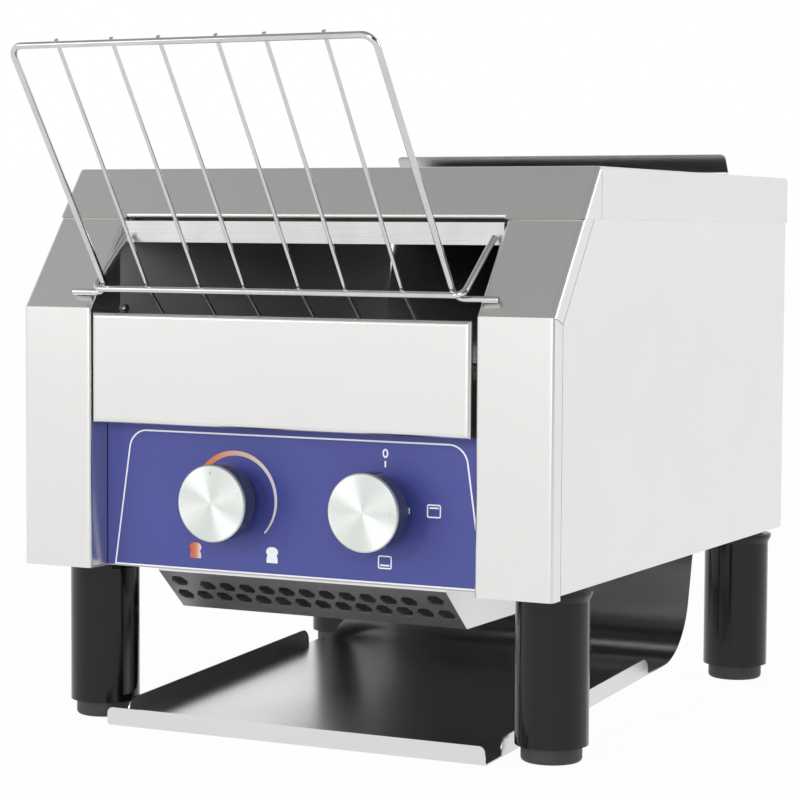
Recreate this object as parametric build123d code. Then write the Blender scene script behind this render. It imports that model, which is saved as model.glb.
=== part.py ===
from build123d import *
import math
import os

# Conveyor toaster for bread slices. X runs left to right, Y front to back and Z up, in millimetres.
# While it is modelled, Y = 0 is the front face of the casing and Z = 0 is the table.
# Pieces that come in a left and a right hand are built on the right (+X) and mirrored.

# ---- Casing ----
CASING_WIDTH = 368.0
CASING_DEPTH = 418.0
CASING_BOTTOM_Z = 104.0
CASING_TOP_Z = 356.4
FOLD_Z = 268.8  # the front turns back into a slanted face above this height
SLANT_RUN = 65.2  # how far back the slanted face leans
SHEET = 0.8  # outer panels
INNER_SHEET = 1.0  # panels inside the casing
BEND_R = 3.0  # outside radius of the folded front edges
SMALL_BEND_R = 1.8  # outside radius of the cap's and side panels' folds
SEAM = 0.4  # visible joint between neighbouring panels
FIT = 0.1  # clearance between sheets that lie on each other
CLEARANCE = 0.3  # clearance between parts that move apart

COLUMN_WIDTH = 50.2
SIDE_RETURN = 12.0  # depth of a column's outer fold
INNER_RETURN = 35.0  # depth of a column's fold beside the opening
HIDDEN_TOP_DROP = 6.4  # the panels that run up under the cap end this far below its top
PANEL_LIFT = 3.0  # side panels end this far above the columns
PANEL_FLANGE = 14.0
BASE_FLANGE = 18.0
BASE_INSET = 9.0  # from the side panels to the floor's side edges
CAP_LIP_DROP = 30.9  # from the top down to the cap's lower edges
CAP_SEAM_Y = 66.5
CAP_LIP_DEPTH = 10.0
CAP_LIP_BEND = 8.0  # how far up the lip's bend reaches, with room to spare
REAR_COVER_FOLD = 11.0

# ---- Front of the toasting chamber ----
HOT_PLATE_GAP = 2.5  # between its ends and the columns
HOT_PLATE_LOW_Z = 196.8
HOT_PLATE_TOP_Z = 266.0
HOT_PLATE_PROUD = 2.0  # stands ahead of the columns
HOT_PLATE_TOP_FOLD = 4.0
HOT_PLATE_SIDE_FOLD = 16.0
CONTROL_PANEL_Y = 20.0  # set back behind the columns
CONTROL_PANEL_SHEET = 1.2
PANEL_BACK_FOLD = 5.0
PANEL_FOOT_FOLD = 12.0
RAIL_Y = 40.0
RAIL_DROP = 46.4  # from the top down to the rail's lower edge
RAIL_HEIGHT = 13.5
RAIL_FOLD = 12.0

# ---- Vent box under the front ----
VENT_HALF = 101.6
VENT_FRONT_Y = 29.7
VENT_LIP = 2.5
VENT_LOW_Z = 74.7
VENT_FACE_RUN = 30.3  # the perforated face goes this far back as it falls
VENT_BACK_Y = 230.0
HEX_ACROSS_FLATS = 10.5
HEX_PITCH = 14.3
HEX_LOW_COUNT = 14
HEX_HIGH_COUNT = 11
HEX_LOW_S = 26.0  # distances down the perforated face from its upper fold
HEX_HIGH_S = 14.5
END_HOLE_S = 10.8
END_HOLE_X = 90.8

# ---- Legs ----
LEG_INSET = 24.0  # from the casing's side to a leg's axis
LEG_FRONT_Y = 57.0
LEG_REAR_INSET = 30.0
LEG_R = 22.5
LEG_COLLAR_R = 24.5
LEG_COLLAR_RIM = 2.0  # height of the collar's widest part
LEG_COLLAR_FLARE = 4.0  # height over which it narrows to the tube
FOOT_R = 18.7
FOOT_HEIGHT = 10.0
FOOT_EDGE_R = 2.5
FOOT_TRAVEL = 12.0
STUD_R = 5.0
STUD_LENGTH = 34.0
LEG_BOLT_R = 4.0
LEG_BOLT_DEPTH = 25.0
LEG_NUT_HEIGHT = 6.5
LEG_NUT_R = 7.5
LEG_BOLT_PROUD = 0.8

# ---- Conveyor ----
CHAIN_PITCH = 9.525
ROLLER_R = 3.175
CHAIN_PLATE = 1.0
CHAIN_PLATE_HALF = 3.6  # half height of a link plate
CHAIN_SIDE_GAP = 0.5  # between sprocket and link plate
SPROCKET_THICK = 5.2
TOOTH_HEIGHT = 2.4  # above the pitch circle
BELT_TEETH = 16
BELT_SPAN_LINKS = 28
BELT_FRONT_Y = 57.0
SHAFT_Z = 214.0
CHAIN_WALL_GAP = 11.8  # from the wall to the belt chain's middle
SHAFT_R = 6.0
SHAFT_END = 7.0  # length past the bearing flange
SHAFT_PROUD = 0.8  # past the drive sprocket
COLLAR_R = 7.6
COLLAR_LENGTH = 2.0
RUNNING = 0.05
HUB_R = 11.0
HUB_LENGTH = 7.0
BUSH_R = 8.5
BUSH_FLANGE_R = 12.0
BUSH_FLANGE = 2.0
WIRE_SPACING_LINKS = 3  # from one carrying wire to the next
BELT_WIRE_R = 1.5

# ---- Drive ----
DRIVE_WALL_GAP = 11.2  # from the wall's outside to the drive chain's middle
DRIVE_TEETH = 12
DRIVE_SPAN_LINKS = 9
DRIVE_DROP = 66.0  # the motor's axis lies this far under the shaft
MOTOR_R = 27.0
MOTOR_LENGTH = 32.0
GEARBOX_R = 29.0
GEARBOX_LENGTH = 17.0
MOTOR_SHAFT_R = 4.0
MOTOR_BOSS_R = 7.0
MOTOR_SHAFT_GRIP = 14.0

# ---- Heaters ----
HEATER_R = 5.0
HEATER_COUNT = 3
HEATER_LOW_Z = 222.0
HEATER_DROP = 35.4  # from the top down to the upper heaters
COIL_R = 2.6
CERAMIC_R = 8.0
CERAMIC_LENGTH = 14.0
TERMINAL_R = 1.6
TERMINAL_LENGTH = 9.0
TUBE_INSERT = 10.0  # how far a tube's end lies inside its ceramic
HIGH_REFLECTOR_DROP = 19.4
HIGH_REFLECTOR_BACK_Y = 380.0
LOW_REFLECTOR_Z = 207.0
REFLECTOR_FOLD = 7.0
CRUMB_PLATE_Z = 179.0
CRUMB_PLATE_BACK_Y = 300.0
CRUMB_FRONT_FOLD = 14.5

# ---- Controls ----
KNOB_Z = 151.0
SPEED_X = -39.2
FUNCTION_X = 65.3
KNOB_FACE_Y = -10.0
KNOB_R = 23.8
KNOB_CAP = 2.0
KNOB_CHAMFER = 0.8
KNOB_SKIRT = 13.0
KNOB_NECK_R = 15.5
KNOB_GAP = 1.5  # between the knob's neck and the panel
KNOB_HOLLOW_R = 9.5
KNOB_HOLLOW = 6.5
DIMPLE_R = 1.1
DIMPLE_FROM_RIM = 5.2
DIMPLE_DEPTH = 0.7
SPINDLE_R = 3.0
SPINDLE_TIP = 5.0  # from the knob's face to the spindle's end
BUSHING_R = 4.8
BUSHING_PROUD = 5.0
PANEL_NUT_R = 6.8
PANEL_NUT = 2.6
POT_R = 12.5
POT_LENGTH = 13.0
SWITCH_SIDE = 42.0
SWITCH_LENGTH = 36.0
SPINDLE_IN_BODY = 9.0
TAG_PITCH = 6.0
TAG_HALF = 0.8
TAG_SHEET = 0.8
TAG_DROP = 7.0
SWITCH_CORNER = 4.8
SWITCH_GROOVE = 0.8

# ---- Fan, wiring and inlet ----
FAN_SIDE = 80.0
FAN_DEPTH = 25.0
FAN_Y = 95.0
FAN_BORE_R = 38.0
FAN_HUB_R = 16.0
FAN_STRUT = 6.0
FAN_BLADE_COUNT = 7
FAN_BLADE_CHORD = 16.0
FAN_BLADE_THICK = 1.6
FAN_BLADE_ROOT = 2.0
FAN_BLADE_TIP_GAP = 1.2
FAN_BLADE_TILT = 28.65  # degrees
FAN_FLOOR_GAP = 0.8
FAN_PIN_R = 2.0
FAN_CORNER_R = 4.0
BOARD = (70.0, 50.0, 1.6)
BOARD_AT = (-85.0, 160.0)
BOARD_LIFT = 6.0
BOARD_POST_R = 3.2
BOARD_POST_INSET = 6.0
FIN_COUNT = 7
FIN_PITCH = 4.0
FIN_THICK = 0.8
FIN_HEIGHT = 21.0
CAPACITOR_R = 6.0
CAPACITOR_HEIGHT = 13.0
TERMINAL_COUNT = 5
TERMINAL_PITCH = 10.0
TERMINAL_BLOCK = (20.0, 14.0)
TERMINAL_AT = (20.0, 200.0)
GLAND_INSET = 26.0  # from the casing's side to the gland's axis
GLAND_Z = 135.0
GLAND_BORE_R = 4.5
GLAND_BODY_R = 8.0
GLAND_NUT_R = 12.0
GLAND_NUT = 6.0
GLAND_OUT = 14.0
GLAND_IN = 9.0
GLAND_EDGE_R = 0.8

# ---- Toast tray ----
TRAY_SHEET = 1.0
TRAY_FRONT_Y = 19.4
TRAY_UNDER = 0.3  # above the table
TRAY_LIP = 12.0
TRAY_RISE = 0.0542  # the floor's rise per length
TRAY_BACK_INSET = 64.9  # from the casing's back to where floor and back wall would meet
TRAY_BEND_R = 50.0
TRAY_WALL_LEAN = 0.2361  # the back wall's lean per height
TRAY_WALL_TOP_Z = 362.2
TRAY_HEM = (-7.8, 12.6)  # the folded top edge, Y and Z from the wall's top
TRAY_FLANGE = 11.5
TRAY_FLANGE_FROM_Y = 43.0
TRAY_FLANGE_TO_Y = 285.0
TRAY_CORNER_R = 4.0
TRAY_TOP_CORNER_R = 3.0
TRAY_NOTCH_Z = 78.0
TRAY_NOTCH_HEIGHT = 7.0
TRAY_NOTCH_DEPTH = 4.0
TRAY_FLANGE_R = 9.0

# ---- Feed rack ----
RACK_WIRE_R = 2.0
RACK_THIN_R = 1.25
RACK_X = -1.0  # the loose rack lies this far left of the middle
RACK_TOP = (-102.0, 424.9)
RACK_TOP_INSET = 13.7  # from half the bay's width to half the top bar
RACK_CORNER_R = 8.0
RACK_FOOT_INSET = 13.0
HOOK_Z = 278.6
HOOK_Y = 2.0
HOOK_REACH = 13.8  # over the column's face
HOOK_R = 7.0
BAR_Z = 280.9
BAR_INSET = 6.0
ARM_INSET = 4.8
ARM_TOP_Y = 36.0
ARM_RAIL_LIFT = 4.5  # the arm's end above the rail's lower edge
BAR_CORNER_R = 6.0
RACK_WIRE_XS = (-90.0, -52.1, -20.3, 17.7, 49.1, 87.0)
RACK_WIRE_TIP = 1.3
RACK_WIRE_LOW_Z = 258.0
RACK_WIRE_FOOT_Y = 24.5

# ---- Fasteners ----
SCREW_R = 2.0
SCREW_HEAD_R = 3.2
SCREW_HEAD = 1.6
SCREW_LENGTH = 6.0
REAR_SCREW_ZS = (125.0, 218.0, 311.0)
WALL_SCREW_ZS = (267.2, 160.0)
WALL_SCREW_Y = 39.5

# ---- Worked out from the sizes above ----
HALF = CASING_WIDTH / 2
BAY = HALF - COLUMN_WIDTH  # half width between the columns
HOT_PLATE_HALF = BAY - HOT_PLATE_GAP
TRAY_HALF = BAY - CLEARANCE
LEG_X = HALF - LEG_INSET
LEG_REAR_Y = CASING_DEPTH - LEG_REAR_INSET
CHAIN_X = BAY - CHAIN_WALL_GAP
GLAND_X = GLAND_INSET - HALF
RACK_TOP_HALF = BAY - RACK_TOP_INSET
RACK_FOOT_HALF = BAY - RACK_FOOT_INSET
HOOK_TIP_X = BAY + HOOK_REACH
BAR_HALF = BAY - BAR_INSET
TRAY_BACK_Y = CASING_DEPTH - TRAY_BACK_INSET
HIDDEN_TOP_Z = CASING_TOP_Z - HIDDEN_TOP_DROP
CAP_LIP_Z = CASING_TOP_Z - CAP_LIP_DROP
RAIL_LOW_Z = CASING_TOP_Z - RAIL_DROP
HEATER_HIGH_Z = CASING_TOP_Z - HEATER_DROP
HIGH_REFLECTOR_Z = CASING_TOP_Z - HIGH_REFLECTOR_DROP
ARM_TOP = (ARM_TOP_Y, RAIL_LOW_Z + ARM_RAIL_LIFT)
SLANT_RISE = CASING_TOP_Z - FOLD_Z
SLANT_ANGLE = math.atan2(SLANT_RUN, SLANT_RISE)
FOLD_SHARE = math.tan(SLANT_ANGLE / 2)
CAP_PROUD = SHEET + FIT
REAR_Y = CASING_DEPTH - SHEET - FIT  # where the cap's rear wall begins
COVER_Y = REAR_Y - FIT - SHEET
PANEL_REAR_Y = COVER_Y - FIT
WALL_OUT = BAY + INNER_SHEET
DRIVE_X = WALL_OUT + DRIVE_WALL_GAP
FLOOR_Z = CASING_BOTTOM_Z + SHEET
PANEL_LOW_Z = CASING_BOTTOM_Z + PANEL_LIFT
BELT_R = CHAIN_PITCH / (2 * math.sin(math.pi / BELT_TEETH))
BELT_SPAN = BELT_SPAN_LINKS * CHAIN_PITCH
BELT_REAR_Y = BELT_FRONT_Y + BELT_SPAN
DRIVE_SPAN = DRIVE_SPAN_LINKS * CHAIN_PITCH
MOTOR_Y = BELT_FRONT_Y + math.sqrt(DRIVE_SPAN**2 - DRIVE_DROP**2)
MOTOR_Z = SHAFT_Z - DRIVE_DROP
CHAIN_INSIDE = SPROCKET_THICK / 2 + CHAIN_SIDE_GAP
HEATER_YS = [BELT_FRONT_Y + BELT_SPAN * (k + 0.5) / HEATER_COUNT for k in range(HEATER_COUNT)]
CERAMIC_X = WALL_OUT + FIT
LEG_SPOTS = {
    "front_left": (-LEG_X, LEG_FRONT_Y),
    "front_right": (LEG_X, LEG_FRONT_Y),
    "rear_left": (-LEG_X, LEG_REAR_Y),
    "rear_right": (LEG_X, LEG_REAR_Y),
}
BIG = 1000.0  # longer than any piece, for cutting right through
NEAR = 0.01  # an edge this near a line lies on it


# ---- Shapes that several pieces use ----
def block(x0, x1, y0, y1, z0, z1):
    """Box between two corners."""
    centre = Pos((x0 + x1) / 2, (y0 + y1) / 2, (z0 + z1) / 2)
    return centre * Box(x1 - x0, y1 - y0, z1 - z0)


def rod(radius, start, end):
    """Round bar from one point to another."""
    run = Vector(*end) - Vector(*start)
    align = (Align.CENTER, Align.CENTER, Align.MIN)
    return Plane(origin=start, z_dir=run) * Cylinder(radius, run.length, align=align)


def slab(points, x0, x1):
    """Outline drawn in Y and Z, as thick as x0 to x1."""
    outline = Plane.YZ.offset(x0) * Polygon(*points, align=None)
    return extrude(outline, amount=x1 - x0, dir=(1, 0, 0))


def mirrored(shape):
    """The other hand of a piece built on the right."""
    return mirror(shape, about=Plane.YZ)


def both(shape):
    """A piece and its mirror image, as separate solids."""
    return [shape, mirrored(shape)]


def group(shapes):
    """Separate solids that share one node."""
    solids = [solid for shape in shapes for solid in shape.solids()]
    return Compound(solids)


def wire_rod(radius, points, bends):
    """Bent round wire through a list of points, with a bend radius at each inner point."""
    path = FilletPolyline(*points, radius=bends)
    start = Plane(origin=path @ 0, z_dir=path % 0)
    return sweep(start * Circle(radius), path=path)


# ---- The front's slanted outline ----
def front_fold_z(inset):
    """Height of the fold on the front's outline, moved inwards by inset."""
    return FOLD_Z - inset * FOLD_SHARE


def front_y(z, inset=0.0):
    """Y of the front's outline at height z, moved inwards by inset."""
    if z <= front_fold_z(inset):
        return inset
    return (z - FOLD_Z) * SLANT_RUN / SLANT_RISE + inset / math.cos(SLANT_ANGLE)


def slant_z(y, inset):
    """Height at which the slanted outline, moved inwards by inset, reaches y."""
    return FOLD_Z + (y - inset / math.cos(SLANT_ANGLE)) * SLANT_RISE / SLANT_RUN


def front_line(inset, low_z, high_z):
    """Points up the front's outline."""
    return [(inset, low_z), (inset, front_fold_z(inset)), (front_y(high_z, inset), high_z)]


def front_edges(solid, inset):
    """Edges of a solid that run up along the front's outline."""
    found = []
    for edge in solid.edges():
        middle = edge.center()
        upright = abs(edge.tangent_at(0.5).X) < 0.5
        if upright and abs(middle.Y - front_y(middle.Z, inset)) < NEAR:
            found.append(edge)
    return found


# ---- Outer casing ----
def column():
    """Right half of the front surround: front, outer fold and the fold beside the opening."""
    depth = front_y(HIDDEN_TOP_Z) + BEND_R
    outline = front_line(0, CASING_BOTTOM_Z, HIDDEN_TOP_Z)
    outline += [(depth, HIDDEN_TOP_Z), (depth, CASING_BOTTOM_Z)]
    outside = slab(outline, BAY, HALF)
    outside = fillet(front_edges(outside, 0), BEND_R)
    top = HIDDEN_TOP_Z + BEND_R
    hollow = front_line(SHEET, CASING_BOTTOM_Z - BEND_R, top)
    hollow += [(BIG, top), (BIG, CASING_BOTTOM_Z - BEND_R)]
    inside = slab(hollow, BAY + SHEET, HALF - SHEET)
    inside = fillet(front_edges(inside, SHEET), BEND_R - SHEET)
    shell = outside - inside
    behind = front_line(SIDE_RETURN, -BIG, BIG) + [(BIG, BIG), (BIG, -BIG)]
    shell -= slab(behind, HALF - COLUMN_WIDTH / 2, HALF + BEND_R)
    behind = [(INNER_RETURN, 0), (INNER_RETURN, slant_z(INNER_RETURN, BEND_R))]
    behind += [(front_y(CASING_TOP_Z, BEND_R), CASING_TOP_Z), (BIG, CASING_TOP_Z), (BIG, 0)]
    shell -= slab(behind, BAY - BEND_R, HALF - COLUMN_WIDTH / 2)
    shell -= block(BAY - BEND_R, BAY + BEND_R, BEND_R, BIG, 0, FLOOR_Z + SEAM)
    return shell - mitre_cut()


def mitre_cut():
    """Thin slit where the outer fold's upright and slanted parts meet."""
    half = SEAM / 2
    start = BEND_R / 2
    end = SIDE_RETURN + SEAM
    outline = [
        (start, front_fold_z(start) - half),
        (end, front_fold_z(end) - half),
        (end, front_fold_z(end) + half),
        (start, front_fold_z(start) + half),
    ]
    return slab(outline, HALF - BEND_R / 2, HALF + BEND_R)


def side_panel():
    """Right side panel, with a fold along its rear edge."""
    front = front_line(SIDE_RETURN + SEAM, PANEL_LOW_Z, HIDDEN_TOP_Z)
    outline = front + [(PANEL_REAR_Y, HIDDEN_TOP_Z), (PANEL_REAR_Y, PANEL_LOW_Z)]
    outside = slab(outline, HALF - PANEL_FLANGE, HALF)
    rear_edge = outside.edges().filter_by(Axis.Z).sort_by(Axis.Y)[-2:].sort_by(Axis.X)[-1]
    outside = fillet(rear_edge, SMALL_BEND_R)
    inside = block(0, HALF - SHEET, -BIG, PANEL_REAR_Y - SHEET, -BIG, BIG)
    corner = inside.edges().filter_by(Axis.Z).sort_by(Axis.Y)[-2:].sort_by(Axis.X)[-1]
    inside = fillet(corner, SMALL_BEND_R - SHEET)
    return outside - inside - rear_screw_holes()


def top_cap():
    """Folded cap over the top, the upper end of the slanted face and the panels' upper edges."""
    half = HALF + CAP_PROUD
    outside = cap_block(half, CAP_PROUD, CASING_DEPTH, CASING_TOP_Z + CAP_PROUD, BEND_R)
    inner_half = half - SHEET
    inside = cap_block(inner_half, FIT, CASING_DEPTH - SHEET, CASING_TOP_Z + FIT, BEND_R - SHEET)
    cap = outside - inside
    cap -= cap_lip_block(CAP_PROUD, CAP_LIP_Z - BEND_R, 0)
    cap += cap_lip_block(CAP_PROUD, CAP_LIP_Z, SMALL_BEND_R) - cap_lip_block(
        FIT, CAP_LIP_Z + SHEET, SMALL_BEND_R - SHEET)
    slit = block(inner_half - FIT, BIG, CAP_SEAM_Y, CAP_SEAM_Y + SEAM, 0, CASING_TOP_Z - BEND_R)
    return cap - slit - mirrored(slit)


def cap_lip_block(proud, low_z, bend):
    """Solid outline of the slanted face's lower end between the columns, where it bends back."""
    high_z = CAP_LIP_Z + CAP_LIP_BEND
    low_y = front_y(low_z, -proud)
    back_y = front_y(CAP_LIP_Z) + CAP_LIP_DEPTH
    outline = [(low_y, low_z), (front_y(high_z, -proud), high_z), (back_y, high_z), (back_y, low_z)]
    solid = slab(outline, SEAM - BAY, BAY - SEAM)
    if not bend:
        return solid
    low_edges = solid.edges().filter_by(Axis.X).group_by(Axis.Z)[0]
    return fillet(low_edges.sort_by(Axis.Y)[0], bend)


def cap_block(half, proud, rear_y, top_z, bend):
    """Solid outline of the cap, standing proud of the front's outline."""
    low_y = front_y(CAP_LIP_Z, -proud)
    high_y = front_y(top_z, -proud)
    outline = [(low_y, CAP_LIP_Z), (high_y, top_z), (rear_y, top_z), (rear_y, CAP_LIP_Z)]
    solid = slab(outline, -half, half)
    folds = [edge for edge in solid.edges() if edge.center().Z > CAP_LIP_Z + bend]
    return fillet(folds, bend)


def base_panel():
    """Floor of the casing, cut out behind for the toast to drop through."""
    edge = HALF - SHEET - FIT - BASE_INSET
    base = block(-edge, edge, BEND_R + FIT, PANEL_REAR_Y - SHEET - FIT, CASING_BOTTOM_Z, FLOOR_Z)
    front_gap = CONTROL_PANEL_Y + CONTROL_PANEL_SHEET
    base -= block(-BAY, BAY, 0, front_gap, 0, CASING_TOP_Z)
    base -= block(-BAY, BAY, CRUMB_PLATE_BACK_Y, BIG, 0, CASING_TOP_Z)
    side = block(edge - SHEET, edge, SIDE_RETURN + BEND_R, REAR_Y - PANEL_FLANGE, CASING_BOTTOM_Z,
                 CASING_BOTTOM_Z + BASE_FLANGE)
    rear = block(-BAY, BAY, CRUMB_PLATE_BACK_Y - INNER_SHEET, CRUMB_PLATE_BACK_Y, CASING_BOTTOM_Z,
                 CRUMB_PLATE_Z - FIT)
    base += side + mirrored(side) + rear
    base -= rod(FAN_BORE_R, (0, FAN_Y, 0), (0, FAN_Y, FLOOR_Z + BEND_R))
    for x, y in LEG_SPOTS.values():
        base -= rod(LEG_BOLT_R + FIT, (x, y, 0), (x, y, FLOOR_Z + BEND_R))
    return base


def rear_cover():
    """Narrow cover behind the right side compartment."""
    inner = WALL_OUT + FIT
    cover = block(inner, HALF - BEND_R, COVER_Y, COVER_Y + SHEET, PANEL_LOW_Z, HIDDEN_TOP_Z)
    return cover - rear_screw_holes()


def rear_screw_holes():
    """What is drilled for the screws of the right rear cover."""
    start = PANEL_REAR_Y - BEND_R
    spots = [(x, z) for x in rear_screw_xs() for z in REAR_SCREW_ZS]
    return [rod(SCREW_R + FIT, (x, start, z), (x, BIG, z)) for x, z in spots]


def rear_screw_xs():
    """X of the two columns of screws in the right rear cover."""
    return (WALL_OUT + REAR_COVER_FOLD / 2, HALF - PANEL_FLANGE / 2 - SHEET)


def inner_wall():
    """Right wall of the toasting chamber, with a stepped front edge behind the column."""
    start = INNER_RETURN + CLEARANCE
    top = CASING_TOP_Z - SEAM
    inset = BEND_R + SEAM
    low = FLOOR_Z + FIT
    outline = [(start, low), (start, slant_z(start, inset)), (front_y(top, inset), top), (PANEL_REAR_Y, top), (PANEL_REAR_Y, low)]
    wall = slab(outline, BAY, WALL_OUT)
    step_front = CONTROL_PANEL_Y
    step_top = FOLD_Z + SLANT_RISE * (step_front - BEND_R) / SLANT_RUN
    wall += block(WALL_OUT, WALL_OUT + INNER_SHEET, step_front, start + BEND_R, low, step_top)
    wall += block(BAY, WALL_OUT + REAR_COVER_FOLD, PANEL_REAR_Y - INNER_SHEET, PANEL_REAR_Y,
                  PANEL_LOW_Z, HIDDEN_TOP_Z)
    wall -= rear_screw_holes()
    for z in WALL_SCREW_ZS:
        wall -= rod(SCREW_R + FIT, (0, WALL_SCREW_Y, z), (BIG, WALL_SCREW_Y, z))
    for y in HEATER_YS:
        for z in (HEATER_LOW_Z, HEATER_HIGH_Z):
            wall -= rod(HEATER_R + FIT, (0, y, z), (BIG, y, z))
    for y in (BELT_FRONT_Y, BELT_REAR_Y):
        wall -= rod(BUSH_R, (0, y, SHAFT_Z), (BIG, y, SHAFT_Z))
    return wall


def inner_wall_right():
    """The right wall also carries the gear motor."""
    return inner_wall() - rod(MOTOR_BOSS_R + FIT, (0, MOTOR_Y, MOTOR_Z), (BIG, MOTOR_Y, MOTOR_Z))


# ---- Front of the chamber ----
def hot_plate():
    """Shallow folded plate in front of the chamber."""
    front = -HOT_PLATE_PROUD
    back = CONTROL_PANEL_Y + PANEL_BACK_FOLD
    wide = HOT_PLATE_HALF
    outside = block(-wide, wide, front, back, HOT_PLATE_LOW_Z, HOT_PLATE_TOP_Z)
    outside = fillet(outside.faces().sort_by(Axis.Y)[0].edges(), BEND_R)
    inside = block(-wide + SHEET, wide - SHEET, front + SHEET, back + BEND_R,
                   HOT_PLATE_LOW_Z + SHEET, HOT_PLATE_TOP_Z - SHEET)
    inside = fillet(inside.faces().sort_by(Axis.Y)[0].edges(), BEND_R - SHEET)
    plate = outside - inside
    middle_z = (HOT_PLATE_LOW_Z + HOT_PLATE_TOP_Z) / 2
    plate -= block(-BIG, BIG, front + HOT_PLATE_TOP_FOLD, BIG, middle_z, BIG)
    plate -= block(-BIG, BIG, HOT_PLATE_SIDE_FOLD, BIG, HOT_PLATE_LOW_Z + SHEET, middle_z)
    return plate


def opening_rail():
    """Rail across the top of the feed opening."""
    wide = BAY - CLEARANCE
    high = RAIL_LOW_Z + RAIL_HEIGHT
    rail = block(-wide, wide, RAIL_Y, RAIL_Y + INNER_SHEET, RAIL_LOW_Z, high)
    rail += block(-wide, wide, RAIL_Y, RAIL_Y + RAIL_FOLD, high - INNER_SHEET, high)
    tab = block(wide - INNER_SHEET, wide, RAIL_Y, RAIL_Y + RAIL_FOLD, RAIL_LOW_Z, high)
    return rail + tab + mirrored(tab)


def control_panel():
    """Panel that carries both knobs, with folds at its top and foot."""
    wide = BAY - SEAM
    back = CONTROL_PANEL_Y + CONTROL_PANEL_SHEET
    low = FLOOR_Z + FIT
    high = HOT_PLATE_LOW_Z - FIT
    panel = block(-wide, wide, CONTROL_PANEL_Y, back, low, high)
    panel += block(-wide, wide, CONTROL_PANEL_Y, CONTROL_PANEL_Y + PANEL_BACK_FOLD,
                   high - CONTROL_PANEL_SHEET, high)
    panel += block(-wide, wide, CONTROL_PANEL_Y, CONTROL_PANEL_Y + PANEL_FOOT_FOLD, low,
                   low + CONTROL_PANEL_SHEET)
    for x in (SPEED_X, FUNCTION_X):
        panel -= rod(BUSHING_R + FIT, (x, 0, KNOB_Z), (x, BIG, KNOB_Z))
    return panel


def vent_box():
    """Air duct under the front, with a perforated slanted face."""
    high = CASING_BOTTOM_Z - FIT
    lip_z = high - VENT_LIP
    foot_y = VENT_FRONT_Y + VENT_FACE_RUN
    outline = [(VENT_FRONT_Y, high), (VENT_FRONT_Y, lip_z), (foot_y, VENT_LOW_Z)]
    outline += [(VENT_BACK_Y, VENT_LOW_Z), (VENT_BACK_Y, high)]
    outside = slab(outline, -VENT_HALF, VENT_HALF)
    slope = math.atan2(lip_z - VENT_LOW_Z, VENT_FACE_RUN)
    shift = INNER_SHEET / math.sin(slope) - INNER_SHEET / math.tan(slope)
    knee = INNER_SHEET * math.tan((math.pi / 2 - slope) / 2)
    hollow = [(VENT_FRONT_Y + INNER_SHEET, BIG), (VENT_FRONT_Y + INNER_SHEET, lip_z + knee)]
    hollow += [(foot_y + shift, VENT_LOW_Z + INNER_SHEET)]
    hollow += [(VENT_BACK_Y - INNER_SHEET, VENT_LOW_Z + INNER_SHEET), (VENT_BACK_Y - INNER_SHEET, BIG)]
    duct = outside - slab(hollow, INNER_SHEET - VENT_HALF, VENT_HALF - INNER_SHEET)
    return duct - vent_holes(lip_z, slope)


def vent_holes(lip_z, slope):
    """Cutters for two staggered rows of hexagons and one more hexagon at each end."""
    down = Vector(0, math.cos(slope), -math.sin(slope))
    out = Vector(0, -math.sin(slope), -math.cos(slope))
    face = Plane(origin=(0, VENT_FRONT_Y, lip_z), x_dir=(1, 0, 0), z_dir=out)
    corner_r = HEX_ACROSS_FLATS / math.sqrt(3)
    spots = row_spots(HEX_LOW_COUNT, HEX_LOW_S) + row_spots(HEX_HIGH_COUNT, HEX_HIGH_S)
    spots += [(-END_HOLE_X, END_HOLE_S), (END_HOLE_X, END_HOLE_S)]
    side = face.y_dir.dot(down)
    cutters = []
    for x, s in spots:
        hexagon = Pos(x, side * s) * RegularPolygon(corner_r, 6)
        cutters.append(extrude(face * hexagon, amount=BEND_R, both=True))
    return cutters


def row_spots(count, s):
    """Centres of one row of holes, as X and the distance down the face."""
    return [((k - (count - 1) / 2) * HEX_PITCH, s) for k in range(count)]


# ---- Legs ----
def leg(x, y):
    """Tubular leg with a flared collar, bored for its foot below and its bolt above."""
    low = FOOT_HEIGHT + CLEARANCE
    high = CASING_BOTTOM_Z - FIT
    rim = high - LEG_COLLAR_RIM
    body = rod(LEG_R, (x, y, low), (x, y, high))
    body += rod(LEG_COLLAR_R, (x, y, rim), (x, y, high))
    align = (Align.CENTER, Align.CENTER, Align.MAX)
    body += Pos(x, y, rim) * Cone(LEG_R, LEG_COLLAR_R, LEG_COLLAR_FLARE, align=align)
    body -= rod(STUD_R + CLEARANCE, (x, y, 0), (x, y, FOOT_HEIGHT + STUD_LENGTH))
    return body - rod(LEG_BOLT_R, (x, y, high - LEG_BOLT_DEPTH), (x, y, BIG))


def leg_bolt(x, y):
    """Stud from a leg through the casing's floor, with its nut."""
    floor = FLOOR_Z + FIT
    low = CASING_BOTTOM_Z - FIT - LEG_BOLT_DEPTH
    high = floor + LEG_NUT_HEIGHT
    stud = rod(LEG_BOLT_R, (x, y, low), (x, y, high + LEG_BOLT_PROUD))
    nut = Pos(x, y, floor) * extrude(RegularPolygon(LEG_NUT_R, 6), amount=LEG_NUT_HEIGHT)
    return stud + nut


def foot(x, y):
    """Levelling foot: a round pad with the stud that screws into the leg."""
    pad = rod(FOOT_R, (x, y, 0), (x, y, FOOT_HEIGHT))
    pad = fillet(pad.edges().sort_by(Axis.Z)[0], FOOT_EDGE_R)
    return pad + rod(STUD_R, (x, y, 0), (x, y, FOOT_HEIGHT + STUD_LENGTH - FOOT_TRAVEL))


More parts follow.
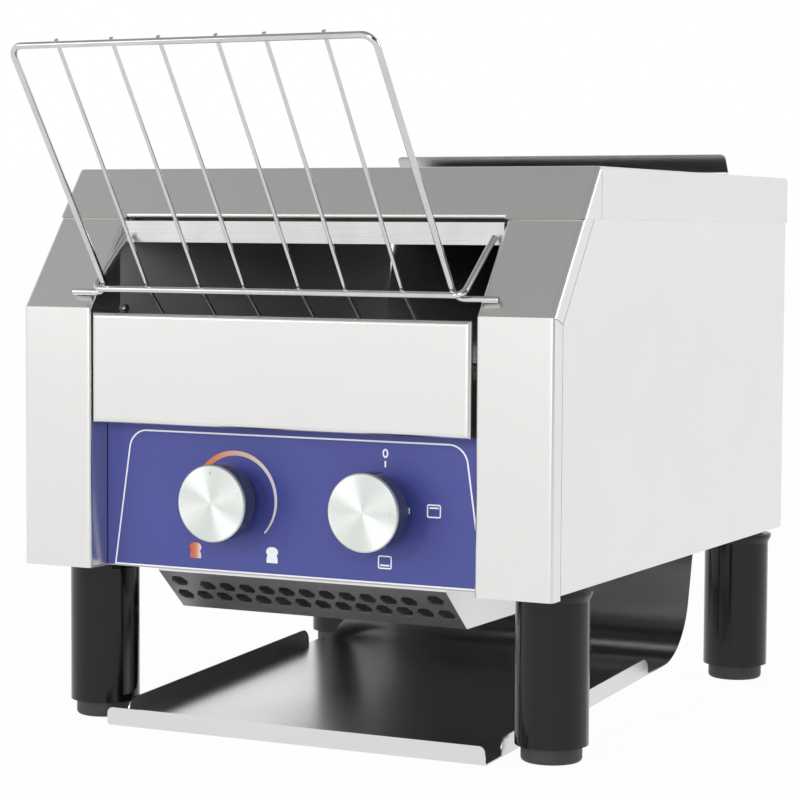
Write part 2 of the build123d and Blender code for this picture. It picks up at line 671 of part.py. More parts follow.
# ---- Chains and sprockets ----
def loop_spots(teeth, span_links):
    """Roller centres of a chain round two equal sprockets, in order, first sprocket at 0, 0."""
    radius = CHAIN_PITCH / (2 * math.sin(math.pi / teeth))
    step = 2 * math.pi / teeth
    span = span_links * CHAIN_PITCH
    turn = range(1, teeth // 2)
    spots = [(k * CHAIN_PITCH, radius) for k in range(span_links + 1)]
    spots += [(span + radius * math.sin(k * step), radius * math.cos(k * step)) for k in turn]
    spots += [(span - k * CHAIN_PITCH, -radius) for k in range(span_links + 1)]
    spots += [(-radius * math.sin(k * step), -radius * math.cos(k * step)) for k in turn]
    return spots


def chain_plane(x, start, end):
    """Plane of a chain: its x axis points from the first sprocket's centre to the second's."""
    direction = (0, end[0] - start[0], end[1] - start[1])
    return Plane(origin=(x, start[0], start[1]), x_dir=direction, z_dir=(1, 0, 0))


def chain(plane, teeth, span_links):
    """Roller chain: two link plates and the rollers between them."""
    radius = CHAIN_PITCH / (2 * math.sin(math.pi / teeth))
    span = span_links * CHAIN_PITCH
    outer = SlotCenterToCenter(span, 2 * (radius + CHAIN_PLATE_HALF))
    inner = SlotCenterToCenter(span, 2 * (radius - CHAIN_PLATE_HALF))
    ring = Pos(span / 2, 0) * (outer - inner)
    lift = Pos(0, 0, CHAIN_INSIDE)
    drop = Pos(0, 0, -CHAIN_INSIDE - CHAIN_PLATE)
    plates = [lift * extrude(ring, amount=CHAIN_PLATE), drop * extrude(ring, amount=CHAIN_PLATE)]
    roller = Cylinder(ROLLER_R, 2 * CHAIN_INSIDE)
    rollers = [Pos(u, v) * roller for u, v in loop_spots(teeth, span_links)]
    return plane * (plates[0] + plates[1] + rollers)


def sprocket(plane, teeth, bore_r, hub_side):
    """Toothed wheel with a hub, in mesh with the chain on its plane.

    The teeth are cut by rollers in their seats and by the rollers that run on and off in line.
    """
    radius = CHAIN_PITCH / (2 * math.sin(math.pi / teeth))
    roller = Circle(ROLLER_R + CLEARANCE)
    seated_and_leaving = Sketch() + [Pos(x, radius) * roller for x in (-CHAIN_PITCH, 0, CHAIN_PITCH)]
    face = Circle(radius + TOOTH_HEIGHT)
    face -= [Rot(0, 0, 360 * k / teeth) * seated_and_leaving for k in range(teeth)]
    wheel = extrude(face, amount=SPROCKET_THICK / 2, both=True)
    hub_z = hub_side * (SPROCKET_THICK + HUB_LENGTH) / 2
    wheel += Pos(0, 0, hub_z) * Cylinder(HUB_R, HUB_LENGTH)
    return plane * (wheel - Cylinder(bore_r, BIG))


def belt_plane(x, at_rear=False):
    """Plane of a belt chain, from the front shaft, or of the rear shaft's sprocket."""
    plane = chain_plane(x, (BELT_FRONT_Y, SHAFT_Z), (BELT_REAR_Y, SHAFT_Z))
    if at_rear:
        plane = plane.shift_origin((x, BELT_REAR_Y, SHAFT_Z))
    return plane


def belt_sprockets(at_rear):
    """The two sprockets on one belt shaft."""
    right = sprocket(belt_plane(CHAIN_X, at_rear), BELT_TEETH, SHAFT_R, -1)
    return group(both(right))


def belt_shaft(y, right_end):
    """Round shaft across the chamber, with a collar outside each bearing."""
    left_end = -WALL_OUT - BUSH_FLANGE - SHAFT_END
    shaft = rod(SHAFT_R, (left_end, y, SHAFT_Z), (right_end, y, SHAFT_Z))
    collar_x = WALL_OUT + BUSH_FLANGE + CLEARANCE
    collar = rod(COLLAR_R, (collar_x, y, SHAFT_Z), (collar_x + COLLAR_LENGTH, y, SHAFT_Z))
    return shaft + collar + mirrored(collar)


def shaft_bearing(y):
    """Flanged bush in the right wall."""
    start = BAY
    flange_x = WALL_OUT
    bush = rod(BUSH_R, (start, y, SHAFT_Z), (flange_x, y, SHAFT_Z))
    bush += rod(BUSH_FLANGE_R, (flange_x, y, SHAFT_Z), (flange_x + BUSH_FLANGE, y, SHAFT_Z))
    return bush - rod(SHAFT_R + RUNNING, (0, y, SHAFT_Z), (BIG, y, SHAFT_Z))


def belt_wires():
    """Carrying wires between the two belt chains."""
    end = CHAIN_X - CHAIN_INSIDE - CHAIN_PLATE - FIT
    wires = []
    for u, v in loop_spots(BELT_TEETH, BELT_SPAN_LINKS)[::WIRE_SPACING_LINKS]:
        y = BELT_FRONT_Y + u
        z = SHAFT_Z + v
        wires.append(rod(BELT_WIRE_R, (-end, y, z), (end, y, z)))
    return group(wires)


def drive_plane(at_shaft=False):
    """Plane of the drive chain, from the motor's axis, or of the shaft's drive sprocket."""
    plane = chain_plane(DRIVE_X, (MOTOR_Y, MOTOR_Z), (BELT_FRONT_Y, SHAFT_Z))
    if at_shaft:
        plane = plane.shift_origin((DRIVE_X, BELT_FRONT_Y, SHAFT_Z))
    return plane


# ---- Motor ----
def gear_motor():
    """Motor can and gearbox, with the boss that locates in the right wall."""
    face = BAY - FIT
    can_x = face - GEARBOX_LENGTH
    centre = (MOTOR_Y, MOTOR_Z)
    body = rod(GEARBOX_R, (can_x, *centre), (face, *centre))
    body += rod(MOTOR_R, (can_x - MOTOR_LENGTH, *centre), (can_x, *centre))
    body += rod(MOTOR_BOSS_R, (face, *centre), (WALL_OUT + FIT, *centre))
    grip = WALL_OUT - MOTOR_SHAFT_GRIP
    return body - rod(MOTOR_SHAFT_R + RUNNING, (grip - CLEARANCE, *centre), (BIG, *centre))


def motor_shaft():
    """The gearbox's output shaft."""
    end = DRIVE_X + SPROCKET_THICK / 2 + SHAFT_PROUD
    return rod(MOTOR_SHAFT_R, (WALL_OUT - MOTOR_SHAFT_GRIP, MOTOR_Y, MOTOR_Z), (end, MOTOR_Y, MOTOR_Z))


# ---- Heaters and the sheets round them ----
def heater_rods(radius, end_x):
    """One round bar at each heater's place, from side to side."""
    return [rod(radius, (-end_x, y, z), (end_x, y, z)) for y in HEATER_YS
            for z in (HEATER_LOW_Z, HEATER_HIGH_Z)]


def quartz_tubes():
    """Clear tubes that reach through both walls into their ceramics."""
    end = CERAMIC_X + TUBE_INSERT
    bores = heater_rods(HEATER_R - INNER_SHEET, BIG)
    tubes = heater_rods(HEATER_R, end)
    return group([tube - bore for tube, bore in zip(tubes, bores)])


def heater_coils():
    """Heating coils inside the tubes, each as the cylinder that it fills."""
    return group(heater_rods(COIL_R, CERAMIC_X + TUBE_INSERT))


def heater_ceramics():
    """Ceramic end pieces that hold the tubes outside the walls."""
    pieces = []
    for y in HEATER_YS:
        for z in (HEATER_LOW_Z, HEATER_HIGH_Z):
            end = CERAMIC_X + CERAMIC_LENGTH
            ceramic = rod(CERAMIC_R, (CERAMIC_X, y, z), (end, y, z))
            ceramic -= rod(HEATER_R, (0, y, z), (CERAMIC_X + TUBE_INSERT, y, z))
            ceramic -= rod(TERMINAL_R, (0, y, z), (BIG, y, z))
            pieces += both(ceramic)
    return group(pieces)


def heater_terminals():
    """Pins that bring the current into each ceramic."""
    start = CERAMIC_X + TUBE_INSERT
    pins = []
    for y in HEATER_YS:
        for z in (HEATER_LOW_Z, HEATER_HIGH_Z):
            pins += both(rod(TERMINAL_R, (start, y, z), (start + TERMINAL_LENGTH, y, z)))
    return group(pins)


def upper_reflector():
    """Sheet over the upper heaters, folded down at the front and the back."""
    wide = BAY - CLEARANCE
    front = RAIL_Y + RAIL_FOLD + CLEARANCE
    high = HIGH_REFLECTOR_Z + INNER_SHEET
    back = HIGH_REFLECTOR_BACK_Y
    sheet = block(-wide, wide, front, back, HIGH_REFLECTOR_Z, high)
    sheet += block(-wide, wide, front, front + INNER_SHEET, RAIL_LOW_Z + RAIL_HEIGHT, high)
    return sheet + block(-wide, wide, back - INNER_SHEET, back, high - 2 * REFLECTOR_FOLD, high)


def lower_reflector():
    """Sheet under the lower heaters, inside the belt, folded up at its long edges."""
    wide = BAY - CLEARANCE
    reach = BELT_R + TOOTH_HEIGHT + BEND_R
    front = BELT_FRONT_Y + reach
    back = BELT_REAR_Y - reach
    high = LOW_REFLECTOR_Z + REFLECTOR_FOLD
    sheet = block(-wide, wide, front, back, LOW_REFLECTOR_Z, LOW_REFLECTOR_Z + INNER_SHEET)
    sheet += block(-wide, wide, front, front + INNER_SHEET, LOW_REFLECTOR_Z, high)
    return sheet + block(-wide, wide, back - INNER_SHEET, back, LOW_REFLECTOR_Z, high)


def crumb_plate():
    """Floor of the chamber, over the space for the controls and the motor."""
    wide = BAY - CLEARANCE
    front = CONTROL_PANEL_Y + CONTROL_PANEL_SHEET + FIT
    plate = block(-wide, wide, front, CRUMB_PLATE_BACK_Y, CRUMB_PLATE_Z, CRUMB_PLATE_Z + INNER_SHEET)
    high = CRUMB_PLATE_Z + CRUMB_FRONT_FOLD
    plate += block(-wide, wide, front, front + INNER_SHEET, CRUMB_PLATE_Z, high)
    side = block(wide - INNER_SHEET, wide, INNER_RETURN, CRUMB_PLATE_BACK_Y, CRUMB_PLATE_Z, high / 2
                 + CRUMB_PLATE_Z / 2)
    return plate + side + mirrored(side)


# ---- Controls ----
def knob(x):
    """Plastic knob: a wide skirt and a narrower neck that hides the nut."""
    skirt_y = KNOB_FACE_Y + KNOB_CAP
    neck_end = CONTROL_PANEL_Y - KNOB_GAP
    body = rod(KNOB_R, (x, skirt_y, KNOB_Z), (x, KNOB_FACE_Y + KNOB_SKIRT, KNOB_Z))
    body += rod(KNOB_NECK_R, (x, skirt_y, KNOB_Z), (x, neck_end, KNOB_Z))
    body -= rod(KNOB_HOLLOW_R, (x, neck_end - KNOB_HOLLOW, KNOB_Z), (x, neck_end, KNOB_Z))
    return body - spindle(x, POT_LENGTH)


def knob_cap(x, dimple_angle):
    """Metal cap on the knob's face, with a dimple that shows its setting."""
    back = KNOB_FACE_Y + KNOB_CAP
    cap = rod(KNOB_R, (x, KNOB_FACE_Y, KNOB_Z), (x, back, KNOB_Z))
    cap = chamfer(cap.edges().sort_by(Axis.Y)[0], KNOB_CHAMFER)
    reach = KNOB_R - DIMPLE_FROM_RIM
    dimple_x = x + reach * math.sin(math.radians(dimple_angle))
    dimple_z = KNOB_Z + reach * math.cos(math.radians(dimple_angle))
    end = KNOB_FACE_Y + DIMPLE_DEPTH
    return cap - rod(DIMPLE_R, (dimple_x, KNOB_FACE_Y - BEND_R, dimple_z), (dimple_x, end, dimple_z))


def spindle(x, body_length):
    """Spindle from inside the knob to inside the control behind the panel."""
    start = KNOB_FACE_Y + SPINDLE_TIP
    end = CONTROL_PANEL_Y + CONTROL_PANEL_SHEET + FIT + min(SPINDLE_IN_BODY, body_length)
    return rod(SPINDLE_R, (x, start, KNOB_Z), (x, end, KNOB_Z))


def control_bushing(x):
    """Threaded bushing that holds a control in the panel."""
    back = CONTROL_PANEL_Y + CONTROL_PANEL_SHEET + FIT
    return rod(BUSHING_R, (x, CONTROL_PANEL_Y - BUSHING_PROUD, KNOB_Z), (x, back, KNOB_Z))


def spindle_bore(x):
    """Running bore for a spindle in its control."""
    end = CONTROL_PANEL_Y + CONTROL_PANEL_SHEET + FIT + SPINDLE_IN_BODY + CLEARANCE
    return rod(SPINDLE_R + RUNNING, (x, KNOB_FACE_Y, KNOB_Z), (x, end, KNOB_Z))


def speed_potentiometer():
    """Potentiometer behind the left knob, with three solder tags."""
    back = CONTROL_PANEL_Y + CONTROL_PANEL_SHEET + FIT
    body = rod(POT_R, (SPEED_X, back, KNOB_Z), (SPEED_X, back + POT_LENGTH, KNOB_Z))
    for k in (-1, 0, 1):
        x = SPEED_X + k * TAG_PITCH
        body += block(x - TAG_HALF, x + TAG_HALF, back + TAG_SHEET, back + 2 * TAG_SHEET,
                      KNOB_Z - POT_R - TAG_DROP, KNOB_Z)
    return body + control_bushing(SPEED_X) - spindle_bore(SPEED_X)


def function_switch():
    """Rotary cam switch behind the right knob."""
    back = CONTROL_PANEL_Y + CONTROL_PANEL_SHEET + FIT
    side = SWITCH_SIDE / 2
    body = block(FUNCTION_X - side, FUNCTION_X + side, back, back + SWITCH_LENGTH, KNOB_Z - side,
                 KNOB_Z + side)
    body = chamfer(body.edges().filter_by(Axis.Y), SWITCH_CORNER)
    for y in (back + SWITCH_LENGTH / 3, back + SWITCH_LENGTH * 2 / 3):
        ring = block(-BIG, BIG, y, y + SWITCH_GROOVE, -BIG, BIG)
        core = block(FUNCTION_X - side + SWITCH_GROOVE, FUNCTION_X + side - SWITCH_GROOVE, y,
                     y + SWITCH_GROOVE, KNOB_Z - side + SWITCH_GROOVE, KNOB_Z + side - SWITCH_GROOVE)
        body -= ring - core
    return body + control_bushing(FUNCTION_X) - spindle_bore(FUNCTION_X)


def panel_nuts():
    """Nuts that clamp both bushings to the panel."""
    nuts = []
    plane = Plane(origin=(0, CONTROL_PANEL_Y - FIT, KNOB_Z), x_dir=(1, 0, 0), z_dir=(0, -1, 0))
    for x in (SPEED_X, FUNCTION_X):
        face = Pos(x, 0) * (RegularPolygon(PANEL_NUT_R, 6) - Circle(BUSHING_R))
        nuts.append(extrude(plane * face, amount=PANEL_NUT))
    return group(nuts)


# ---- Fan, wiring and inlet ----
def fan_frame():
    """Square fan housing on the casing's floor, over the vent box."""
    low = FLOOR_Z + FIT
    half = FAN_SIDE / 2
    frame = block(-half, half, FAN_Y - half, FAN_Y + half, low, low + FAN_DEPTH)
    frame = fillet(frame.edges().filter_by(Axis.Z), FAN_CORNER_R)
    frame -= rod(FAN_BORE_R, (0, FAN_Y, 0), (0, FAN_Y, BIG))
    hub_top = low + FAN_DEPTH
    hub_low = hub_top - FAN_STRUT
    frame += rod(FAN_HUB_R, (0, FAN_Y, hub_low), (0, FAN_Y, hub_top))
    strut = FAN_STRUT / 2
    frame += block(-half, half, FAN_Y - strut, FAN_Y + strut, hub_low + strut, hub_top)
    frame += block(-strut, strut, FAN_Y - half, FAN_Y + half, hub_low + strut, hub_top)
    return frame - rod(FAN_PIN_R + RUNNING, (0, FAN_Y, hub_low), (0, FAN_Y, hub_top - FAN_FLOOR_GAP))


def fan_rotor():
    """Fan hub with tilted blades and the pin that it turns on."""
    low = FLOOR_Z + FIT + FAN_FLOOR_GAP
    high = FLOOR_Z + FIT + FAN_DEPTH - FAN_STRUT - CLEARANCE
    rotor = rod(FAN_HUB_R, (0, FAN_Y, low), (0, FAN_Y, high))
    root = FAN_HUB_R - FAN_BLADE_ROOT
    tip = FAN_BORE_R - FAN_BLADE_TIP_GAP
    middle = (low + high) / 2
    blade = Box(tip - root, FAN_BLADE_CHORD, FAN_BLADE_THICK)
    place = Pos((root + tip) / 2, 0, 0) * Rot(FAN_BLADE_TILT, 0, 0)
    for k in range(FAN_BLADE_COUNT):
        rotor += Pos(0, FAN_Y, middle) * Rot(0, 0, 360 * k / FAN_BLADE_COUNT) * place * blade
    pin_top = FLOOR_Z + FIT + FAN_DEPTH - FAN_FLOOR_GAP - CLEARANCE
    return rotor + rod(FAN_PIN_R, (0, FAN_Y, high), (0, FAN_Y, pin_top))


def speed_board():
    """Motor speed board on four posts, with a heat sink and two capacitors."""
    long, wide, thick = BOARD
    x, y = BOARD_AT
    low = FLOOR_Z + FIT
    under = low + BOARD_LIFT
    board = block(x - long / 2, x + long / 2, y - wide / 2, y + wide / 2, under, under + thick)
    post_x = long / 2 - BOARD_POST_INSET
    post_y = wide / 2 - BOARD_POST_INSET
    for dx in (-post_x, post_x):
        for dy in (-post_y, post_y):
            board += rod(BOARD_POST_R, (x + dx, y + dy, low), (x + dx, y + dy, under))
    top = under + thick
    for k in range(FIN_COUNT):
        fin_x = x - long / 4 + k * FIN_PITCH
        board += block(fin_x, fin_x + FIN_THICK, y - wide / 4, y + wide / 4, top, top + FIN_HEIGHT)
    for dy in (-post_y / 2, post_y / 2):
        centre = (x + long / 3, y + dy)
        board += rod(CAPACITOR_R, (*centre, top), (*centre, top + CAPACITOR_HEIGHT))
    return board


def terminal_block():
    """Row of screw terminals for the mains wires."""
    wide, high = TERMINAL_BLOCK
    x, y = TERMINAL_AT
    low = FLOOR_Z + FIT
    half = TERMINAL_COUNT * TERMINAL_PITCH / 2
    body = block(x - half, x + half, y - wide / 2, y + wide / 2, low, low + high)
    for k in range(TERMINAL_COUNT):
        centre = x - half + TERMINAL_PITCH * (k + 0.5)
        body -= rod(SCREW_HEAD_R, (centre, y, low + high / 2), (centre, y, BIG))
        body -= rod(SCREW_R, (centre, 0, low + high / 4), (centre, BIG, low + high / 4))
    return body


def cable_gland():
    """Threaded gland in the left rear cover, where the mains cable goes in."""
    face = COVER_Y + SHEET
    start = COVER_Y - GLAND_IN
    end = face + GLAND_OUT
    gland = rod(GLAND_BODY_R, (GLAND_X, start, GLAND_Z), (GLAND_X, end, GLAND_Z))
    plane = Plane(origin=(GLAND_X, face + FIT, GLAND_Z), x_dir=(1, 0, 0), z_dir=(0, 1, 0))
    gland += extrude(plane * RegularPolygon(GLAND_NUT_R, 6), amount=GLAND_NUT)
    inner = Plane(origin=(GLAND_X, COVER_Y - FIT, GLAND_Z), x_dir=(1, 0, 0), z_dir=(0, -1, 0))
    gland += extrude(inner * RegularPolygon(GLAND_NUT_R, 6), amount=GLAND_NUT / 2)
    gland = fillet(gland.edges().filter_by(GeomType.CIRCLE).sort_by(Axis.Y)[-1], GLAND_EDGE_R)
    return gland - rod(GLAND_BORE_R, (GLAND_X, 0, GLAND_Z), (GLAND_X, BIG, GLAND_Z))


def rear_cover_left():
    """The left rear cover has the gland's hole."""
    hole = rod(GLAND_BODY_R + FIT, (GLAND_X, 0, GLAND_Z), (GLAND_X, BIG, GLAND_Z))
    return mirrored(rear_cover()) - hole


# ---- Toast tray ----
def tray_points():
    """Middle line of the tray's section, from the front lip to the top of the back wall."""
    low = TRAY_UNDER + TRAY_SHEET / 2
    corner_z = low + TRAY_RISE * (TRAY_BACK_Y - TRAY_FRONT_Y)
    top_y = TRAY_BACK_Y + TRAY_WALL_LEAN * (TRAY_WALL_TOP_Z - corner_z)
    hem_y, hem_z = TRAY_HEM
    lip_top = (TRAY_FRONT_Y, TRAY_UNDER + TRAY_LIP)
    front = (TRAY_FRONT_Y, low)
    corner = (TRAY_BACK_Y, corner_z)
    top = (top_y, TRAY_WALL_TOP_Z)
    return [lip_top, front, corner, top, (top_y + hem_y, TRAY_WALL_TOP_Z + hem_z)]


def toast_tray():
    """One bent sheet: front lip, sloping floor, curve and back wall, with a fold on each side."""
    points = tray_points()
    bends = [2 * TRAY_SHEET, TRAY_BEND_R, 3 * TRAY_SHEET]
    line = FilletPolyline(*points, radius=bends)
    section = Plane.YZ.offset(-TRAY_HALF) * trace(line, TRAY_SHEET)
    sheet = extrude(section, amount=2 * TRAY_HALF, dir=(1, 0, 0))
    lip = corner_cutter(points[0][1], TRAY_CORNER_R, -BIG, TRAY_FLANGE_FROM_Y)
    hem = corner_cutter(points[-1][1], TRAY_TOP_CORNER_R, TRAY_BACK_Y, BIG)
    side = tray_flange()
    sheet -= [lip, mirrored(lip), hem, mirrored(hem), tray_notch()]
    return sheet + side + mirrored(side)


def tray_notch():
    """What is cut out of the back wall's left edge, low down."""
    x = TRAY_NOTCH_DEPTH - TRAY_HALF
    high = TRAY_NOTCH_Z + TRAY_NOTCH_HEIGHT
    return block(-TRAY_HALF - BEND_R, x, TRAY_BACK_Y, BIG, TRAY_NOTCH_Z, high)


def corner_cutter(top_z, radius, y0, y1):
    """What is cut off to round one upper corner of an upright sheet."""
    x = TRAY_HALF - radius
    z = top_z - radius
    square = block(x, TRAY_HALF + BEND_R, y0, y1, z, top_z + BEND_R)
    return square - rod(radius, (x, y0, z), (x, y1, z))


def tray_flange():
    """Upright fold along the right edge of the floor."""
    low = TRAY_UNDER + TRAY_SHEET / 2
    z0 = low + TRAY_RISE * (TRAY_FLANGE_FROM_Y - TRAY_FRONT_Y)
    z1 = low + TRAY_RISE * (TRAY_FLANGE_TO_Y - TRAY_FRONT_Y)
    outline = [(TRAY_FLANGE_FROM_Y, z0), (TRAY_FLANGE_TO_Y, z1)]
    outline += [(TRAY_FLANGE_TO_Y, z1 + TRAY_FLANGE), (TRAY_FLANGE_FROM_Y, z0 + TRAY_FLANGE)]
    flange = slab(outline, TRAY_HALF - TRAY_SHEET, TRAY_HALF)
    across = flange.edges().filter_by(Axis.X).sort_by(Axis.Y)
    ends = [across[:2].sort_by(Axis.Z)[-1], across[-2:].sort_by(Axis.Z)[-1]]
    return fillet(ends, TRAY_FLANGE_R)


# ---- Feed rack ----
def rack_slope():
    """Unit direction down the rack's side wires, in Y and Z."""
    run = HOOK_Y - RACK_TOP[0]
    fall = HOOK_Z - RACK_TOP[1]
    length = math.hypot(run, fall)
    return run / length, fall / length


def rack_frame():
    """Outer wire of the rack: top bar, two side wires and a hook at each foot."""
    tip_y = front_y(HOOK_Z) - (RACK_WIRE_R + CLEARANCE) / math.cos(SLANT_ANGLE)
    right = [(HOOK_TIP_X, tip_y, HOOK_Z), (RACK_FOOT_HALF, HOOK_Y, HOOK_Z), (RACK_TOP_HALF, *RACK_TOP)]
    left = [(-x, y, z) for x, y, z in reversed(right)]
    wire = wire_rod(RACK_WIRE_R, right + left, [HOOK_R, RACK_CORNER_R, RACK_CORNER_R, HOOK_R])
    return Pos(RACK_X, 0, 0) * wire


def bar_centre():
    """Y and Z of the cross bar, which lies against the front of the side wires."""
    down_y, down_z = rack_slope()
    offset = 2 * RACK_WIRE_R + FIT
    behind_z = BAR_Z + down_y * offset
    behind_y = HOOK_Y + (behind_z - HOOK_Z) * down_y / down_z
    return behind_y + down_z * offset, BAR_Z


def rack_bail():
    """Cross bar of the rack, whose ends turn back into the opening."""
    y, z = bar_centre()
    arm_x = BAY - ARM_INSET
    right = [(arm_x, *ARM_TOP), (BAR_HALF, y, z)]
    left = [(-a, b, c) for a, b, c in reversed(right)]
    return wire_rod(RACK_WIRE_R, right + left, [BAR_CORNER_R, BAR_CORNER_R])


def rack_wires():
    """Thin wires behind the top bar and the cross bar, with their feet behind the hot plate."""
    down_y, down_z = rack_slope()
    offset = RACK_WIRE_R + RACK_THIN_R + 2 * FIT
    bar_y, bar_z = bar_centre()
    top_y = RACK_TOP[0] - down_z * offset
    top_z = RACK_TOP[1] + down_y * offset
    tip = (top_y - down_y * RACK_WIRE_TIP, top_z - down_z * RACK_WIRE_TIP)
    knee = (bar_y - down_z * offset, bar_z + down_y * offset)
    wires = []
    for x in RACK_WIRE_XS:
        points = [(x, *tip), (x, *knee), (x, RACK_WIRE_FOOT_Y, RACK_WIRE_LOW_Z)]
        wires.append(wire_rod(RACK_THIN_R, points, [BAR_CORNER_R]))
    return group(wires)


# ---- Fasteners ----
def screw(head_centre, direction):
    """Pan-head screw: its head stands on the sheet, its shank runs along direction."""
    centre = Vector(*head_centre)
    inward = Vector(*direction)
    head = rod(SCREW_HEAD_R, tuple(centre), tuple(centre - inward * SCREW_HEAD))
    head = fillet(head.edges().sort_by(lambda edge: edge.center().dot(inward))[0], SCREW_HEAD / 2)
    return head + rod(SCREW_R, tuple(centre), tuple(centre + inward * SCREW_LENGTH))


def wall_screws():
    """Screws near the front edge of both inner walls."""
    screws = []
    for z in WALL_SCREW_ZS:
        screws += both(screw((BAY - FIT, WALL_SCREW_Y, z), (1, 0, 0)))
    return group(screws)


def rear_screws():
    """Screws that hold both rear covers."""
    face = COVER_Y + SHEET + FIT
    screws = []
    for z in REAR_SCREW_ZS:
        for x in rear_screw_xs():
            screws += both(screw((x, face, z), (0, -1, 0)))
    return group(screws)


# ---- Every piece by name ----
def pieces():
    """All the pieces, in the casing's frame."""
    made = {
        "top_cap": top_cap(),
        "column_right": column(),
        "column_left": mirrored(column()),
        "side_panel_right": side_panel(),
        "side_panel_left": mirrored(side_panel()),
        "rear_cover_right": rear_cover(),
        "rear_cover_left": rear_cover_left(),
        "base_panel": base_panel(),
        "inner_wall_right": inner_wall_right(),
        "inner_wall_left": mirrored(inner_wall()),
        "hot_plate": hot_plate(),
        "opening_rail": opening_rail(),
        "control_panel": control_panel(),
        "vent_box": vent_box(),
        "crumb_plate": crumb_plate(),
        "upper_reflector": upper_reflector(),
        "lower_reflector": lower_reflector(),
        "quartz_tubes": quartz_tubes(),
        "heater_coils": heater_coils(),
        "heater_ceramics": heater_ceramics(),
        "heater_terminals": heater_terminals(),
        "shaft_bearings": group(both(shaft_bearing(BELT_FRONT_Y)) + both(shaft_bearing(BELT_REAR_Y))),
        "front_shaft": belt_shaft(BELT_FRONT_Y, DRIVE_X + SPROCKET_THICK / 2 + SHAFT_PROUD),
        "rear_shaft": belt_shaft(BELT_REAR_Y, WALL_OUT + BUSH_FLANGE + SHAFT_END),
        "front_sprockets": belt_sprockets(False),
        "rear_sprockets": belt_sprockets(True),
        "shaft_drive_sprocket": sprocket(drive_plane(True), DRIVE_TEETH, SHAFT_R, 0),
        "conveyor_chain_right": chain(belt_plane(CHAIN_X), BELT_TEETH, BELT_SPAN_LINKS),
        "conveyor_chain_left": mirrored(chain(belt_plane(CHAIN_X), BELT_TEETH, BELT_SPAN_LINKS)),
        "conveyor_wires": belt_wires(),
        "gear_motor": gear_motor(),
        "motor_shaft": motor_shaft(),
        "motor_sprocket": sprocket(drive_plane(), DRIVE_TEETH, MOTOR_SHAFT_R, 0),
        "drive_chain": chain(drive_plane(), DRIVE_TEETH, DRIVE_SPAN_LINKS),
        "speed_potentiometer": speed_potentiometer(),
        "speed_spindle": spindle(SPEED_X, POT_LENGTH),
        "speed_knob": knob(SPEED_X),
        "speed_knob_cap": knob_cap(SPEED_X, 0),
        "function_switch": function_switch(),
        "function_spindle": spindle(FUNCTION_X, SWITCH_LENGTH),
        "function_knob": knob(FUNCTION_X),
        "function_knob_cap": knob_cap(FUNCTION_X, 90),
        "panel_nuts": panel_nuts(),
        "fan_frame": fan_frame(),
        "fan_rotor": fan_rotor(),
        "speed_board": speed_board(),
        "terminal_block": terminal_block(),
        "cable_gland": cable_gland(),
        "leg_bolts": group([leg_bolt(x, y) for x, y in LEG_SPOTS.values()]),
        "rear_screws": rear_screws(),
        "wall_screws": wall_screws(),
        "toast_tray": toast_tray(),
        "rack_frame": rack_frame(),
        "rack_bail": rack_bail(),
        "rack_wires": rack_wires(),
    }
    for place, (x, y) in LEG_SPOTS.items():
        made["foot_" + place] = foot(x, y)
    made["legs"] = group([leg(x, y) for x, y in LEG_SPOTS.values()])
    return made


def main():
    """Builds every piece, centres the whole on its footprint and writes one file per piece."""
    os.makedirs("parts", exist_ok=True)
    made = pieces()
    corners = [shape.bounding_box() for shape in made.values()]
    back = max(corner.max.Y for corner in corners)
    front = min(corner.min.Y for corner in corners)
    centre_y = (front + back) / 2
    print("whole object: Y from", round(front, 3), "to", round(back, 3), "centre", round(centre_y, 4))
    for name, shape in made.items():
        export_step(Pos(0, -centre_y, 0) * shape, "parts/" + name + ".step")


main()
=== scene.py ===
"""Countertop conveyor toaster: finishes, printed marks and small fittings around its CAD frame.

Sizes are in millimetres from the casing's front face (Y) and the table (Z), as a maker's drawing gives them.
`spot` turns them into metres of the row frame.
"""
import logging
import math
from dataclasses import dataclass
from enum import Enum
from typing import Iterable, Optional

import bmesh
import bpy
from mathutils import Matrix, Vector


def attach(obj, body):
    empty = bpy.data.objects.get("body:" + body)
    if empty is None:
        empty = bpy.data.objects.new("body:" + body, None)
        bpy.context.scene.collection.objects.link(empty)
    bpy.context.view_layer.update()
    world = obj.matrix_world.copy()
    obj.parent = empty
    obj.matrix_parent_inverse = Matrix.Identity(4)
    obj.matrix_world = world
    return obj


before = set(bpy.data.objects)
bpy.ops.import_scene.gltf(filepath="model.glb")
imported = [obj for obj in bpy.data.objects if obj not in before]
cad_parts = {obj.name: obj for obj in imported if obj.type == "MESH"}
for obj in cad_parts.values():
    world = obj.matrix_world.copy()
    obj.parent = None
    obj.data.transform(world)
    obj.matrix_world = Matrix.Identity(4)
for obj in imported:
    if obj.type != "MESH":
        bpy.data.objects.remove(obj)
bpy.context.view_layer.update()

MM = 0.001
CASING_FRONT_Y = -165.2254  # the casing's front face in the row frame
SPEED_X = -39.2  # the left dial's axis
FUNCTION_X = 65.3  # the right dial's axis
DIAL_Z = 151.0
LOG = logging.getLogger("toaster")

PATTERN_SPAN = (0.75, 1.25)  # what two added noises mostly cover, stretched over a finish's two colours
FINE_DETAIL = 3.0
CLOUD_DETAIL = 2.0
RING_PERIOD = 2 * math.pi / 20  # distance between the rings of a wave texture at scale 1


class Body(Enum):
    """Moving bodies of the frame that new pieces ride on."""

    CASING = "casing"
    RACK = "rack"
    SPEED = "speed_control"
    FUNCTION = "function_control"


class Grain(Enum):
    """Spacing in mm of a brushed grain along X, Y and Z: long along the strokes, short across them."""

    ALONG_X = (90.0, 0.45, 0.45)
    ALONG_Y = (60.0, 90.0, 0.45)
    ALONG_Z = (0.45, 60.0, 90.0)


